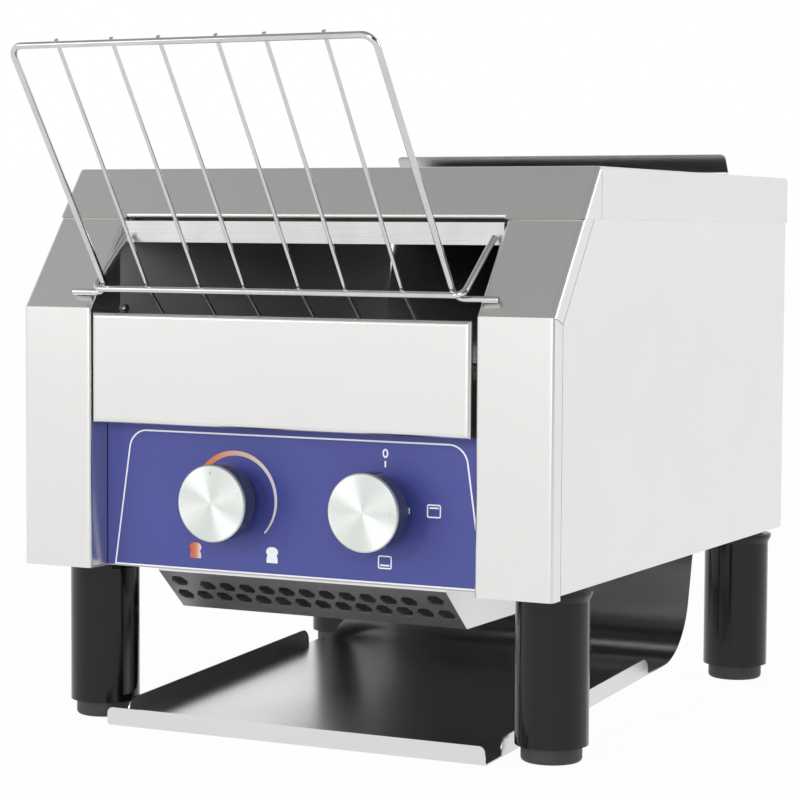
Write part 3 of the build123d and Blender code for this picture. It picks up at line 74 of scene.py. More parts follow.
def spot(x: float, y: float, z: float) -> Vector:
    """A point given in mm from the casing's front face, in metres of the row frame."""
    return Vector((x, y + CASING_FRONT_Y, z)) * MM


def linear(colour: str) -> tuple[float, float, float, float]:
    """An sRGB hex colour as linear red, green, blue and alpha."""
    channels = [int(colour[i:i + 2], 16) / 255 for i in (1, 3, 5)]
    return (*(c / 12.92 if c <= 0.04045 else ((c + 0.055) / 1.055) ** 2.4 for c in channels), 1.0)


def add_node(tree: bpy.types.NodeTree, kind: str, inputs: Optional[dict] = None, **settings) -> bpy.types.Node:
    """Adds a shader node.

    Args:
        tree: the material's or world's node tree.
        kind: the node's Blender type.
        inputs: a value or an output socket for each input, by its name or number.
        settings: the node's own properties.

    Returns:
        The new node.
    """
    node = tree.nodes.new(kind)
    for name, value in settings.items():
        setattr(node, name, value)
    for key, value in (inputs or {}).items():
        if isinstance(value, bpy.types.NodeSocket):
            tree.links.new(value, node.inputs[key])
        else:
            node.inputs[key].default_value = value
    return node


def maths(tree: bpy.types.NodeTree, operation: str, first: object, second: object,
          **settings) -> bpy.types.NodeSocket:
    """Adds a sum, product or comparison of two numbers.

    Args:
        tree: the node tree.
        operation: Blender's name of the operation.
        first: a number or a socket.
        second: a number or a socket.
        settings: the node's other properties.

    Returns:
        The socket of the result.
    """
    return add_node(tree, "ShaderNodeMath", {0: first, 1: second}, operation=operation, **settings).outputs[0]


def blend(tree: bpy.types.NodeTree, share: object, first: object, second: object,
          **settings) -> bpy.types.NodeSocket:
    """Adds a mix of two colours.

    Args:
        tree: the node tree.
        share: how much of the second, a number or a socket.
        first: a colour or a socket.
        second: a colour or a socket.
        settings: the node's other properties.

    Returns:
        The socket of the mixed colour.
    """
    return add_node(tree, "ShaderNodeMix", {0: share, 6: first, 7: second}, data_type="RGBA", **settings).outputs[2]


def stretch(tree: bpy.types.NodeTree, value: bpy.types.NodeSocket, span: tuple[float, float],
            reach: tuple[float, float] = (0.0, 1.0)) -> bpy.types.NodeSocket:
    """Maps a span of numbers onto another, and holds what lies outside at its ends.

    Args:
        tree: the node tree.
        value: the number.
        span: where it starts and ends.
        reach: what the start and the end become.

    Returns:
        The socket of the mapped number.
    """
    return add_node(tree, "ShaderNodeMapRange", {
        "Value": value, "From Min": span[0], "From Max": span[1], "To Min": reach[0], "To Max": reach[1]}).outputs[0]


def alignment(tree: bpy.types.NodeTree, vector: bpy.types.NodeSocket,
              direction: tuple[float, float, float]) -> bpy.types.NodeSocket:
    """Cosine of the angle between a unit vector and a direction.

    Args:
        tree: the node tree.
        vector: the unit vector.
        direction: the direction, one long.

    Returns:
        The socket of the cosine.
    """
    return add_node(tree, "ShaderNodeVectorMath", {0: vector, 1: direction}, operation="DOT_PRODUCT").outputs["Value"]


def noise(tree: bpy.types.NodeTree, place: bpy.types.NodeSocket, sizes: tuple[float, float, float],
          detail: float) -> bpy.types.NodeSocket:
    """A noise with features of given sizes.

    Args:
        tree: the node tree.
        place: coordinates in metres.
        sizes: size of the features in mm, along X, Y and Z.
        detail: how many finer octaves it has.

    Returns:
        The socket of the noise, 0 to 1.
    """
    scaled = add_node(tree, "ShaderNodeMapping", {"Vector": place, "Scale": tuple(1 / (size * MM) for size in sizes)})
    return add_node(tree, "ShaderNodeTexNoise", {
        "Vector": scaled.outputs[0], "Scale": 1.0, "Detail": detail}).outputs[0]


def colour_ramp(tree: bpy.types.NodeTree, value: bpy.types.NodeSocket,
                stops: Iterable[tuple[float, str]]) -> bpy.types.NodeSocket:
    """A run of colours along a number.

    Args:
        tree: the node tree.
        value: the number, 0 to 1.
        stops: position and sRGB hex colour of each stop, from 0 up.

    Returns:
        The socket of the colour.
    """
    ramp = add_node(tree, "ShaderNodeValToRGB", {0: value})
    elements = ramp.color_ramp.elements
    elements.remove(elements[1])
    for i, (position, colour) in enumerate(stops):
        stop = elements.new(position) if i else elements[0]
        stop.position, stop.color = position, linear(colour)
    return ramp.outputs[0]


@dataclass(frozen=True)
class Finish:
    """One surface finish. `material` makes its shader, and keeps it for the pieces that share it.

    Attributes:
        name: the material's name.
        colour: its colour, as sRGB hex.
        shade: the second colour that its fine pattern reaches.
        roughness: middle roughness.
        spread: how far the roughness moves each way with the pattern.
        metallic: 1 for bare metal.
        pattern: size of the fine pattern in mm, along X, Y and Z.
        relief: depth of the fine pattern in mm.
        cloud: size in mm of the slow patches over it.
        transmission: 1 for glass.
        ior: index of refraction, for what isn't metal.
    """

    name: str
    colour: str
    shade: str
    roughness: float
    spread: float = 0.04
    metallic: float = 0.0
    pattern: tuple[float, float, float] = (1.0, 1.0, 1.0)
    relief: float = 0.005
    cloud: float = 70.0
    transmission: float = 0.0
    ior: float = 1.5

    def material(self) -> bpy.types.Material:
        """The finish as a material, made once."""
        made = bpy.data.materials.get(self.name)
        return made if made else self.make()

    def make(self) -> bpy.types.Material:
        """Makes the shader: a fine pattern for colour, gloss and relief, with slow patches over it."""
        material = bpy.data.materials.new(self.name)
        material.use_nodes = True
        tree = material.node_tree
        shader = tree.nodes["Principled BSDF"]
        shader.inputs["Metallic"].default_value = self.metallic
        shader.inputs["Transmission Weight"].default_value = self.transmission
        if not self.metallic:
            shader.inputs["IOR"].default_value = self.ior
        place = add_node(tree, "ShaderNodeTexCoord").outputs["Object"]
        fine = noise(tree, place, self.pattern, FINE_DETAIL)
        both = maths(tree, "ADD", fine, noise(tree, place, (self.cloud,) * 3, CLOUD_DETAIL))
        paint = blend(tree, stretch(tree, both, PATTERN_SPAN), linear(self.colour), linear(self.shade))
        gloss = stretch(tree, both, PATTERN_SPAN, (self.roughness - self.spread, self.roughness + self.spread))
        bump = add_node(tree, "ShaderNodeBump", {"Height": fine, "Strength": 1.0, "Distance": self.relief * MM})
        tree.links.new(self.colouring(tree, place, paint), shader.inputs["Base Color"])
        tree.links.new(gloss, shader.inputs["Roughness"])
        tree.links.new(bump.outputs[0], shader.inputs["Normal"])
        return material

    def colouring(self, tree: bpy.types.NodeTree, place: bpy.types.NodeSocket,
                  paint: bpy.types.NodeSocket) -> bpy.types.NodeSocket:
        """Picks what the base colour comes from: here the patterned paint itself.

        Args:
            tree: the material's node tree.
            place: object coordinates in metres.
            paint: the patterned paint.

        Returns:
            The socket of the base colour.
        """
        return paint


@dataclass(frozen=True)
class FadingInk(Finish):
    """Screen ink printed as a blend across X.

    Attributes:
        start: X in mm where the first colour ends.
        end: X in mm where the last colour begins.
        stops: the colours of the blend, as sRGB hex, evenly spaced.
    """

    start: float = 0.0
    end: float = 1.0
    stops: tuple[str, ...] = ()

    def colouring(self, tree: bpy.types.NodeTree, place: bpy.types.NodeSocket,
                  paint: bpy.types.NodeSocket) -> bpy.types.NodeSocket:
        """A colour ramp along X over the ink's own tone."""
        across = add_node(tree, "ShaderNodeSeparateXYZ", {0: place}).outputs[0]
        share = stretch(tree, across, (self.start * MM, self.end * MM))
        last = len(self.stops) - 1
        ramp = colour_ramp(tree, share, [(i / last, colour) for i, colour in enumerate(self.stops)])
        return blend(tree, 1.0, ramp, paint, blend_type="MULTIPLY")


@dataclass(frozen=True)
class TurnedFace(Finish):
    """A lathe-turned metal face: fine rings about an axis along Y.

    Attributes:
        centre: X and Z of the axis, in mm.
        ring: spacing of the rings in mm.
        cut: depth of the rings in mm.
        stretch: how far the rings draw highlights out along the radius.
    """

    centre: tuple[float, float] = (0.0, 0.0)
    ring: float = 0.5
    cut: float = 0.01
    stretch: float = 0.9

    def make(self) -> bpy.types.Material:
        """Adds the turned rings' relief and their stretched highlight to the plain shader."""
        material = Finish.make(self)
        tree = material.node_tree
        shader = tree.nodes["Principled BSDF"]
        place = add_node(tree, "ShaderNodeTexCoord").outputs["Object"]
        centred = add_node(tree, "ShaderNodeMapping", {
            "Vector": place, "Location": (-self.centre[0] * MM, 0, -self.centre[1] * MM)})
        rings = add_node(tree, "ShaderNodeTexWave", {
            "Vector": centred.outputs[0], "Scale": RING_PERIOD / (self.ring * MM)},
            wave_type="RINGS", rings_direction="Y")
        bump = add_node(tree, "ShaderNodeBump", {
            "Height": rings.outputs["Fac"], "Strength": 1.0, "Distance": self.cut * MM})
        tree.links.new(bump.outputs[0], shader.inputs["Normal"])
        turned = add_node(tree, "ShaderNodeTangent", direction_type="RADIAL", axis="Y")
        tree.links.new(turned.outputs[0], shader.inputs["Tangent"])
        shader.inputs["Anisotropic"].default_value = self.stretch
        return material


@dataclass(frozen=True)
class FacedSheet(Finish):
    """Sheet metal with painted shade on the faces that look one way: those faces get a darker grey than the bare
    sheet.

    Attributes:
        toward: direction that the shaded faces look in.
        painted_shade: the darker grey painted on those faces as shade, as sRGB hex.
        match: least cosine between a shaded face and that direction.
    """

    toward: tuple[float, float, float] = (0.0, 0.0, -1.0)
    # Painted shade: the darker grey that faces looking that way get, standing in for the shade that falls on them.
    painted_shade: str = "#808080"
    match: float = 0.95

    def colouring(self, tree: bpy.types.NodeTree, place: bpy.types.NodeSocket,
                  paint: bpy.types.NodeSocket) -> bpy.types.NodeSocket:
        """Painted shade where the face looks in its direction, the bare sheet elsewhere."""
        normal = add_node(tree, "ShaderNodeNewGeometry").outputs["True Normal"]
        share = maths(tree, "GREATER_THAN", alignment(tree, normal, self.toward), self.match)
        return blend(tree, share, paint, linear(self.painted_shade))


# Satin stainless sheet, 0.8 mm, very finely brushed: light grey, soft and almost even reflections.
BRUSHED_UPRIGHT = Finish("satin_stainless_upright", "#E3E3E1", "#E0E0DE", 0.26, 0.008, 1.0,
                         Grain.ALONG_Z.value, 0.0002)
BRUSHED_ACROSS = Finish("satin_stainless_across", "#E3E3E1", "#E0E0DE", 0.26, 0.008, 1.0,
                        Grain.ALONG_X.value, 0.0002)
BRUSHED_BACK = Finish("satin_stainless_side", "#E6E6E4", "#E3E3E2", 0.28, 0.008, 1.0,
                      Grain.ALONG_Y.value, 0.0002)
# The same sheet as a loose tray, rubbed smoother by toast and cloths, so it mirrors what stands over it.
TRAY_STEEL = Finish("satin_stainless_tray", "#DCDCDC", "#D6D6D6", 0.21, 0.02, 1.0,
                    Grain.ALONG_X.value, 0.0003, 110)
# Stainless duct. Its perforated face looks down towards the tray and gets painted shade: a darker grey that stands in
# for the shade under the casing. It shows as a dark band with darker holes.
VENT_STEEL = FacedSheet("vent_stainless_painted_shade", "#EAEAE8", "#E6E6E4", 0.36, 0.02, 1.0, Grain.ALONG_X.value,
                        0.0003, 110, toward=(0.0, -0.6606, -0.7507), painted_shade="#B4B4B4")
# Stainless at the mouth of the hot chamber: light grey with soft duller patches where heat has stained it.
TINTED_STEEL = Finish("heat_tinted_stainless", "#D4D4D3", "#C0C0BF", 0.30, 0.05, 1.0,
                      Grain.ALONG_X.value, 0.001, 45)
# Stainless of the chamber's walls and floor under a baked-on matt film: even dark grey behind the opening.
CHAMBER_STEEL = Finish("matt_chamber_stainless", "#C8C8C6", "#BEBDBA", 0.50, 0.05, 0.1,
                       Grain.ALONG_X.value, 0.001, 60)
# Heat-scaled steel of the reflectors: dark brown-grey oxide, nearly matt.
SCALED_STEEL = Finish("heat_scaled_steel", "#54524F", "#423F3B", 0.48, 0.08, 0.8, Grain.ALONG_X.value, 0.002, 40)
# Bright nickel-plated steel wire: almost a mirror, with faint draw lines.
PLATED_WIRE = Finish("nickel_plated_wire", "#D2D2D1", "#C8C8C7", 0.07, 0.02, 1.0, (3.0, 0.8, 3.0), 0.0005, 20)
# Polyester panel film with a satin blue print under it: even colour, very fine pebbled gloss.
PANEL_FILM = Finish("satin_polyester_film", "#464D99", "#424994", 0.38, 0.03, 0.0, (0.6, 0.6, 0.6), 0.002, 120)
# Glossy black ABS, injection moulded: deep black, clear highlights with a slight ripple.
GLOSS_ABS = Finish("gloss_black_abs", "#0A0A0A", "#0D0D0D", 0.16, 0.03, 0.0, (9.0, 9.0, 14.0), 0.01, 30, ior=1.4)
# Moulded rubber foot: soft black with a dusty bloom.
RUBBER = Finish("moulded_rubber", "#2C2C2C", "#383736", 0.55, 0.08, 0.0, (0.7, 0.7, 0.7), 0.02, 15)
# Blue-grey moulded ABS knob skirt: satin, a little bloom, fine spark texture.
KNOB_ABS = Finish("blue_grey_abs", "#3A4060", "#444A68", 0.26, 0.05, 0.0, (0.5, 0.5, 0.5), 0.004, 20)
# Oiled roller chain steel: brown-grey metal, oil-dark in patches.
CHAIN_STEEL = Finish("oiled_chain_steel", "#77736C", "#57524B", 0.36, 0.10, 1.0, (1.2, 1.2, 1.2), 0.01, 12)
# Fused quartz tube, satin drawn: milky glass with faint lines along it.
QUARTZ = Finish("satin_quartz", "#F4F3EF", "#E9E7E1", 0.30, 0.08, 0.0, (60.0, 0.8, 0.8), 0.01, 30, 0.85, 1.46)
# Oxidised heating-alloy wire: dark brown-grey, dull.
HEATER_WIRE = Finish("oxidised_heating_wire", "#6E655C", "#544A42", 0.50, 0.08, 1.0, (1.0, 1.0, 1.0), 0.01, 10)
# Unglazed steatite end piece: cream white, chalky.
STEATITE = Finish("unglazed_steatite", "#EDE7D9", "#DED5C3", 0.62, 0.08, 0.0, (0.8, 0.8, 0.8), 0.02, 15)
# Turned brass: warm yellow metal, tarnished a little.
BRASS = Finish("turned_brass", "#C9A961", "#A88648", 0.28, 0.08, 1.0, (0.4, 2.0, 2.0), 0.005, 14)
# Black stove enamel on the gear motor: semi-gloss with a pebbled skin.
MOTOR_ENAMEL = Finish("black_motor_enamel", "#1C1D1F", "#26272A", 0.40, 0.06, 0.0, (1.6, 1.6, 1.6), 0.03, 30)
# Glass-filled black nylon of switches, fan and gland: dull with a fine moulded grain.
BLACK_NYLON = Finish("black_nylon", "#202224", "#2B2D30", 0.48, 0.07, 0.0, (0.6, 0.6, 0.6), 0.015, 25)
# Solder-resist over a fibreglass board: glossy green with a faint weave.
BOARD = Finish("green_circuit_board", "#1F5A3B", "#2B6E48", 0.28, 0.06, 0.0, (0.8, 0.8, 0.8), 0.01, 20)
# Natural polyamide of the terminal block: milky white, satin.
WHITE_NYLON = Finish("natural_polyamide", "#E8E6DE", "#DAD7CC", 0.45, 0.06, 0.0, (0.8, 0.8, 0.8), 0.01, 18)
# Zinc-plated steel of screws and shafts: cool silver with cloudy bloom.
ZINC = Finish("bright_zinc_plate", "#C6C9CC", "#A9ADB3", 0.26, 0.08, 1.0, (0.5, 2.0, 2.0), 0.004, 6)
# White screen ink on the panel film: flat, just proud of it.
WHITE_INK = Finish("white_screen_ink", "#FFFFFF", "#F8F8FC", 0.45, 0.04, 0.0, (0.5, 0.5, 0.5), 0.002, 30)
# Ink blended from toast orange to pale: the browning scale over the left dial.
SCALE_INK = FadingInk("browning_scale_ink", "#FFFFFF", "#F4F4F4", 0.45, 0.04, 0.0, (0.5, 0.5, 0.5), 0.002, 30,
                      start=-64.5, end=-12.5,
                      stops=("#D9622F", "#DE8A5E", "#DFA68A", "#E0C3A6", "#E4D6C4", "#EEE0E4"))
# The same blend over the well-done slice's width.
SLICE_INK = FadingInk("toasted_slice_ink", "#FFFFFF", "#F4F4F4", 0.45, 0.04, 0.0, (0.5, 0.5, 0.5), 0.002, 30,
                      start=-71.1, end=-64.5, stops=("#D9602F", "#DD8660", "#F0E4DF"))
# Turned aluminium knob faces: silver white, highlights fan out from the centre.
SPEED_FACE = TurnedFace("turned_aluminium_speed", "#E6EAE6", "#E0E4E0", 0.42, 0.02, 1.0,
                        (1.0, 1.0, 1.0), 0.001, 20, centre=(SPEED_X, DIAL_Z))
FUNCTION_FACE = TurnedFace("turned_aluminium_function", "#E6EAE6", "#E0E4E0", 0.42, 0.02, 1.0,
                           (1.0, 1.0, 1.0), 0.001, 20, centre=(FUNCTION_X, DIAL_Z))

DRESSING: dict[Finish, tuple[str, ...]] = {
    BRUSHED_UPRIGHT: ("column_left", "column_right", "rear_cover_left", "rear_cover_right"),
    BRUSHED_ACROSS: ("top_cap", "hot_plate"),
    BRUSHED_BACK: ("side_panel_left", "side_panel_right"),
    TRAY_STEEL: ("toast_tray",),
    VENT_STEEL: ("vent_box",),
    CHAMBER_STEEL: ("inner_wall_left", "inner_wall_right", "crumb_plate", "base_panel"),
    SCALED_STEEL: ("upper_reflector", "lower_reflector"),
    TINTED_STEEL: ("conveyor_wires", "opening_rail"),
    PLATED_WIRE: ("rack_frame", "rack_bail", "rack_wires"),
    PANEL_FILM: ("control_panel",),
    GLOSS_ABS: ("legs",),
    RUBBER: ("foot_front_left", "foot_front_right", "foot_rear_left", "foot_rear_right"),
    KNOB_ABS: ("speed_knob", "function_knob"),
    SPEED_FACE: ("speed_knob_cap",),
    FUNCTION_FACE: ("function_knob_cap",),
    CHAIN_STEEL: ("conveyor_chain_left", "conveyor_chain_right", "drive_chain", "front_sprockets",
                  "rear_sprockets", "shaft_drive_sprocket", "motor_sprocket"),
    QUARTZ: ("quartz_tubes",),
    HEATER_WIRE: ("heater_coils",),
    STEATITE: ("heater_ceramics",),
    BRASS: ("heater_terminals", "shaft_bearings"),
    MOTOR_ENAMEL: ("gear_motor",),
    BLACK_NYLON: ("speed_potentiometer", "function_switch", "fan_frame", "fan_rotor", "cable_gland"),
    BOARD: ("speed_board",),
    WHITE_NYLON: ("terminal_block",),
    ZINC: ("front_shaft", "rear_shaft", "motor_shaft", "speed_spindle", "function_spindle", "panel_nuts",
           "leg_bolts", "rear_screws", "wall_screws"),
}


def dress_nodes() -> None:
    """Gives every CAD node its finish."""
    for finish, nodes in DRESSING.items():
        for name in nodes:
            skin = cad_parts[name].data.materials
            for i in range(len(skin)):
                skin[i] = finish.material()
        LOG.info("%s on %s", finish.name, ", ".join(nodes))
    left = sorted(set(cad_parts) - {name for nodes in DRESSING.values() for name in nodes})
    if left:
        raise ValueError(f"no finish for {left}")


def fit_piece(name: str, form: bmesh.types.BMesh, finish: Finish, body: Body,
              smooth: bool = False) -> None:
    """Turns a finished form into a piece that rides on a body.

    Args:
        name: the piece's name.
        form: its geometry, in metres of the row frame. It is freed.
        finish: what it is made of.
        body: the body that carries it.
        smooth: whether its faces are shaded smooth.
    """
    bmesh.ops.recalc_face_normals(form, faces=form.faces[:])
    mesh = bpy.data.meshes.new(name)
    for face in form.faces:
        face.smooth = smooth
    form.to_mesh(mesh)
    form.free()
    mesh.materials.append(finish.material())
    piece = bpy.data.objects.new(name, mesh)
    bpy.context.scene.collection.objects.link(piece)
    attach(piece, body.value)
    LOG.info("%s: %d faces on %s", name, len(mesh.polygons), body.value)


@dataclass
class PanelPrint:
    """The marks screened on the blue panel. Sizes are in mm, angles clockwise from 12 o'clock.

    Attributes:
        face: Y of the panel's face.
        ink: thickness of the ink.
        line: width of the border line.
        border: half width and height of the border's lower and upper corners.
        border_shift: how far right of the middle the border lies.
        border_radius: radius of the border's upper corners.
        arc_radius: middle radius of the browning scale.
        arc_span: angles where the scale starts and ends.
        arc_width: its width at the start and at the end.
        square: width and height of a heater mark.
        square_radius: rounding of a heater mark's corners.
        stroke: line width of the heater marks.
        bar: width and height of a heater mark's bar, and its distance from the mark's centre.
        mark_radius: distance of the heater marks from the dial's axis.
        zero: width, height and centre height of the zero.
        zero_stroke: line width of the zero.
        tick: width, height and centre height of the tick.
        slice_spots: X and Z of the foot of the toasted and the pale slice.
        slice_outline: a slice's corners about the middle of its foot.
        slice_radius: rounding of those corners.
    """

    face: float = 20.0
    ink: float = 0.06
    line: float = 1.0
    border: tuple[tuple[float, float], ...] = ((130.0, 105.0), (117.4, 191.9))
    border_shift: float = 1.7
    border_radius: float = 11.0
    arc_radius: float = 28.8
    arc_span: tuple[float, float] = (-134.0, 134.0)
    arc_width: tuple[float, float] = (4.8, 1.2)
    square: tuple[float, float] = (9.4, 8.2)
    square_radius: float = 1.3
    stroke: float = 0.85
    bar: tuple[float, float, float] = (6.2, 0.95, 1.9)
    mark_radius: float = 32.8
    zero: tuple[float, float, float] = (3.9, 5.6, 184.3)
    zero_stroke: float = 1.0
    tick: tuple[float, float, float] = (1.1, 3.9, 177.8)
    slice_spots: tuple[tuple[float, float], ...] = ((-68.2, 112.4), (-13.0, 112.7))
    slice_outline: tuple[tuple[float, float], ...] = (
        (4.0, 0.0), (3.9, 3.2), (3.1, 4.7), (4.2, 6.0), (4.2, 7.7), (3.0, 9.3), (1.2, 9.9), (-1.2, 9.9),
        (-3.0, 9.3), (-4.2, 7.7), (-4.2, 6.0), (-3.1, 4.7), (-3.9, 3.2), (-4.0, 0.0))
    slice_radius: float = 0.5

    def sheet(self, outline: Iterable[tuple[float, float]], radius: float = 0.0, steps: int = 4,
              width: float = 0.0, above: float = 0.0) -> bmesh.types.BMesh:
        """A flat shape on the panel's face.

        Args:
            outline: X and Z of its corners.
            radius: rounding of the corners.
            steps: segments of each rounding.
            width: line width, for a shape that is only an outline.
            above: corners under this height stay square.

        Returns:
            The shape, one ink thickness deep.
        """
        form = bmesh.new()
        form.faces.new([form.verts.new(spot(x, self.face, z)) for x, z in outline])
        if radius:
            corners = [vert for vert in form.verts if vert.co.z > above * MM]
            bmesh.ops.bevel(form, geom=corners, offset=radius * MM, segments=steps, profile=0.5,
                            affect="VERTICES", material=-1)
        if width:
            self.hollow(form, width)
        return self.thicken(form)

    def hollow(self, form: bmesh.types.BMesh, width: float) -> None:
        """Leaves only a line along the edge of a flat shape.

        Args:
            form: the flat shape.
            width: width of the line.
        """
        inner = form.faces[:]
        bmesh.ops.inset_region(form, faces=inner, thickness=width * MM, use_boundary=True, use_even_offset=True)
        bmesh.ops.delete(form, geom=inner, context="FACES_ONLY")

    def thicken(self, form: bmesh.types.BMesh) -> bmesh.types.BMesh:
        """Gives a flat shape the ink's thickness, outwards from the panel.

        Args:
            form: the flat shape.

        Returns:
            The same form, thickened.
        """
        grown = bmesh.ops.extrude_face_region(form, geom=form.faces[:])
        bmesh.ops.translate(form, vec=(0, -self.ink * MM, 0),
                            verts=[v for v in grown["geom"] if isinstance(v, bmesh.types.BMVert)])
        return form

    def rectangle(self, x: float, z: float, width: float, height: float) -> list[tuple[float, float]]:
        """Corners of an upright rectangle.

        Args:
            x: X of its centre.
            z: Z of its centre.
            width: its width.
            height: its height.

        Returns:
            X and Z of the four corners.
        """
        return [(x - width / 2, z - height / 2), (x + width / 2, z - height / 2),
                (x + width / 2, z + height / 2), (x - width / 2, z + height / 2)]

    def place(self, name: str, form: bmesh.types.BMesh, finish: Finish = WHITE_INK) -> None:
        """Fits one mark to the casing.

        Args:
            name: the mark's name.
            form: its shape.
            finish: its ink.
        """
        fit_piece(name, form, finish, Body.CASING)

    def zero_mark(self) -> bmesh.types.BMesh:
        """The zero over the right dial: an oval ring."""
        width, height, z = self.zero
        form = bmesh.new()
        bmesh.ops.create_circle(form, cap_ends=True, segments=28, radius=0.5 * MM,
                                matrix=Matrix.Translation(spot(FUNCTION_X, self.face, z))
                                @ Matrix.Diagonal((width, 1, height, 1)) @ Matrix.Rotation(math.pi / 2, 4, "X"))
        self.hollow(form, self.zero_stroke)
        return self.thicken(form)

    def scale(self) -> bmesh.types.BMesh:
        """The browning scale: a tapered arc round the left dial."""
        start, end = (math.radians(a) for a in self.arc_span)
        centre = spot(SPEED_X, self.face, DIAL_Z)
        form = bmesh.new()
        ends = [form.verts.new(centre + Vector((0, 0, (self.arc_radius + side) * MM))) for side in (-0.5, 0.5)]
        edge = form.edges.new(ends)
        bmesh.ops.rotate(form, cent=centre, matrix=Matrix.Rotation(start, 3, "Y"), verts=ends)
        bmesh.ops.spin(form, geom=[edge], cent=centre, axis=(0, 1, 0), angle=end - start, steps=64,
                       use_duplicate=False)
        for vert in form.verts:
            arm = vert.co - centre
            share = (math.atan2(arm.x, arm.z) - start) / (end - start)
            width = self.arc_width[0] + (self.arc_width[1] - self.arc_width[0]) * share
            side = arm.length - self.arc_radius * MM
            vert.co = centre + arm.normalized() * (self.arc_radius * MM + side * width)
        return self.thicken(form)

    def build(self) -> None:
        """Builds every mark."""
        (low_x, low_z), (high_x, high_z) = self.border
        corners = [(low_x, low_z), (high_x, high_z), (-high_x, high_z), (-low_x, low_z)]
        corners = [(x + self.border_shift, z) for x, z in corners]
        self.place("panel_border_line", self.sheet(corners, self.border_radius, 8, self.line, DIAL_Z))
        self.place("zero_mark", self.zero_mark())
        self.place("zero_tick", self.sheet(self.rectangle(FUNCTION_X, self.tick[2], *self.tick[:2])))
        self.place("browning_scale", self.scale(), SCALE_INK)
        marks = {"top": (90, (1,)), "bottom": (180, (-1,)), "both": (270, (1, -1))}
        for name, (angle, bars) in marks.items():
            x = FUNCTION_X + self.mark_radius * math.sin(math.radians(angle))
            z = DIAL_Z + self.mark_radius * math.cos(math.radians(angle))
            self.place(f"{name}_heat_frame", self.sheet(self.rectangle(x, z, *self.square),
                                                         self.square_radius, 4, self.stroke))
            for side in bars:
                bar = self.rectangle(x, z + side * self.bar[2], *self.bar[:2])
                self.place(f"{name}_heat_bar_{'upper' if side > 0 else 'lower'}", self.sheet(bar))
        for (name, ink), (x, z) in zip((("toasted", SLICE_INK), ("pale", WHITE_INK)), self.slice_spots):
            outline = [(x + a, z + b) for a, b in self.slice_outline]
            self.place(f"{name}_slice_mark", self.sheet(outline, self.slice_radius, 3), ink)


@dataclass
class KnobMarks:
    """The two raised ribs on the function knob's skirt and the white line at its pointer. Sizes in mm.

    Attributes:
        radius: radius of the skirt.
        span: Y where the ribs start and end.
        angles: the ribs' angles clockwise from 12 o'clock.
        width: width of a rib.
        height: how far a rib stands out of the skirt.
        sink: how far a rib reaches into the skirt.
        edge: rounding of a rib's edges.
        line_length: length of the white line at the back end of the pointer's rib.
        line_past: how far the line reaches past that rib at its end and its top.
        line_extra: how much wider than the rib the line is.
    """

    radius: float = 23.8
    span: tuple[float, float] = (-7.6, 4.8)
    angles: tuple[float, float] = (10.0, 87.0)
    width: float = 3.2
    height: float = 0.35
    sink: float = 0.5
    edge: float = 0.15
    line_length: float = 1.1
    line_past: float = 0.1
    line_extra: float = 0.3

    def rib(self, form: bmesh.types.BMesh, angle: float, front: float, back: float, width: float,
            height: float) -> None:
        """Adds one rounded bar along the skirt.

        Args:
            form: what it is added to.
            angle: its angle clockwise from 12 o'clock.
            front: Y of its front end.
            back: Y of its back end.
            width: its width across the skirt.
            height: how far it stands out.
        """
        depth = height + self.sink
        middle = spot(FUNCTION_X, (front + back) / 2, DIAL_Z)
        turn = Matrix.Translation(middle) @ Matrix.Rotation(math.radians(angle), 4, "Y")
        size = Matrix.Diagonal((width * MM, (back - front) * MM, depth * MM, 1))
        lift = Matrix.Translation((0, 0, (self.radius - self.sink + depth / 2) * MM))
        made = bmesh.ops.create_cube(form, size=1, matrix=turn @ lift @ size)
        edges = {edge for vert in made["verts"] for edge in vert.link_edges}
        bmesh.ops.bevel(form, geom=list(edges), offset=self.edge * MM, segments=2, profile=0.5, affect="EDGES",
                        material=-1)

    def build(self) -> None:
        """Builds the ribs and the pointer line."""
        ribs = bmesh.new()
        for angle in self.angles:
            self.rib(ribs, angle, *self.span, self.width, self.height)
        fit_piece("function_knob_ribs", ribs, KNOB_ABS, Body.FUNCTION)
        line = bmesh.new()
        end = self.span[1]
        self.rib(line, self.angles[1], end - self.line_length, end + self.line_past,
                 self.width + self.line_extra, self.height + self.line_past)
        fit_piece("function_pointer_line", line, WHITE_INK, Body.FUNCTION)


@dataclass
class RackWelds:
    """Resistance-weld beads where the rack's wires cross. Sizes in mm.

    Attributes:
        thin_xs: X of the thin wires.
        side_xs: X of the side wires at the cross bar.
        top_spot: Y and Z where a thin wire touches the top bar.
        bar_spot: Y and Z where a wire touches the cross bar.
        bead: half sizes of a bead.
    """

    thin_xs: tuple[float, ...] = (-90.0, -52.1, -20.3, 17.7, 49.1, 87.0)
    side_xs: tuple[float, float] = (-121.7, 119.7)
    top_spot: tuple[float, float] = (-100.8, 425.3)
    bar_spot: tuple[float, float] = (-3.0, 282.1)
    bead: tuple[float, float, float] = (1.9, 1.3, 1.5)

    def build(self) -> None:
        """Builds all beads as one piece."""
        form = bmesh.new()
        spots = [(x, *place) for x in self.thin_xs for place in (self.top_spot, self.bar_spot)]
        spots += [(x, *self.bar_spot) for x in self.side_xs]
        for place in spots:
            bmesh.ops.create_icosphere(form, subdivisions=2, radius=MM, matrix=Matrix.Translation(spot(*place))
                                       @ Matrix.Diagonal((*self.bead, 1)))
        fit_piece("rack_weld_beads", form, PLATED_WIRE, Body.RACK, smooth=True)


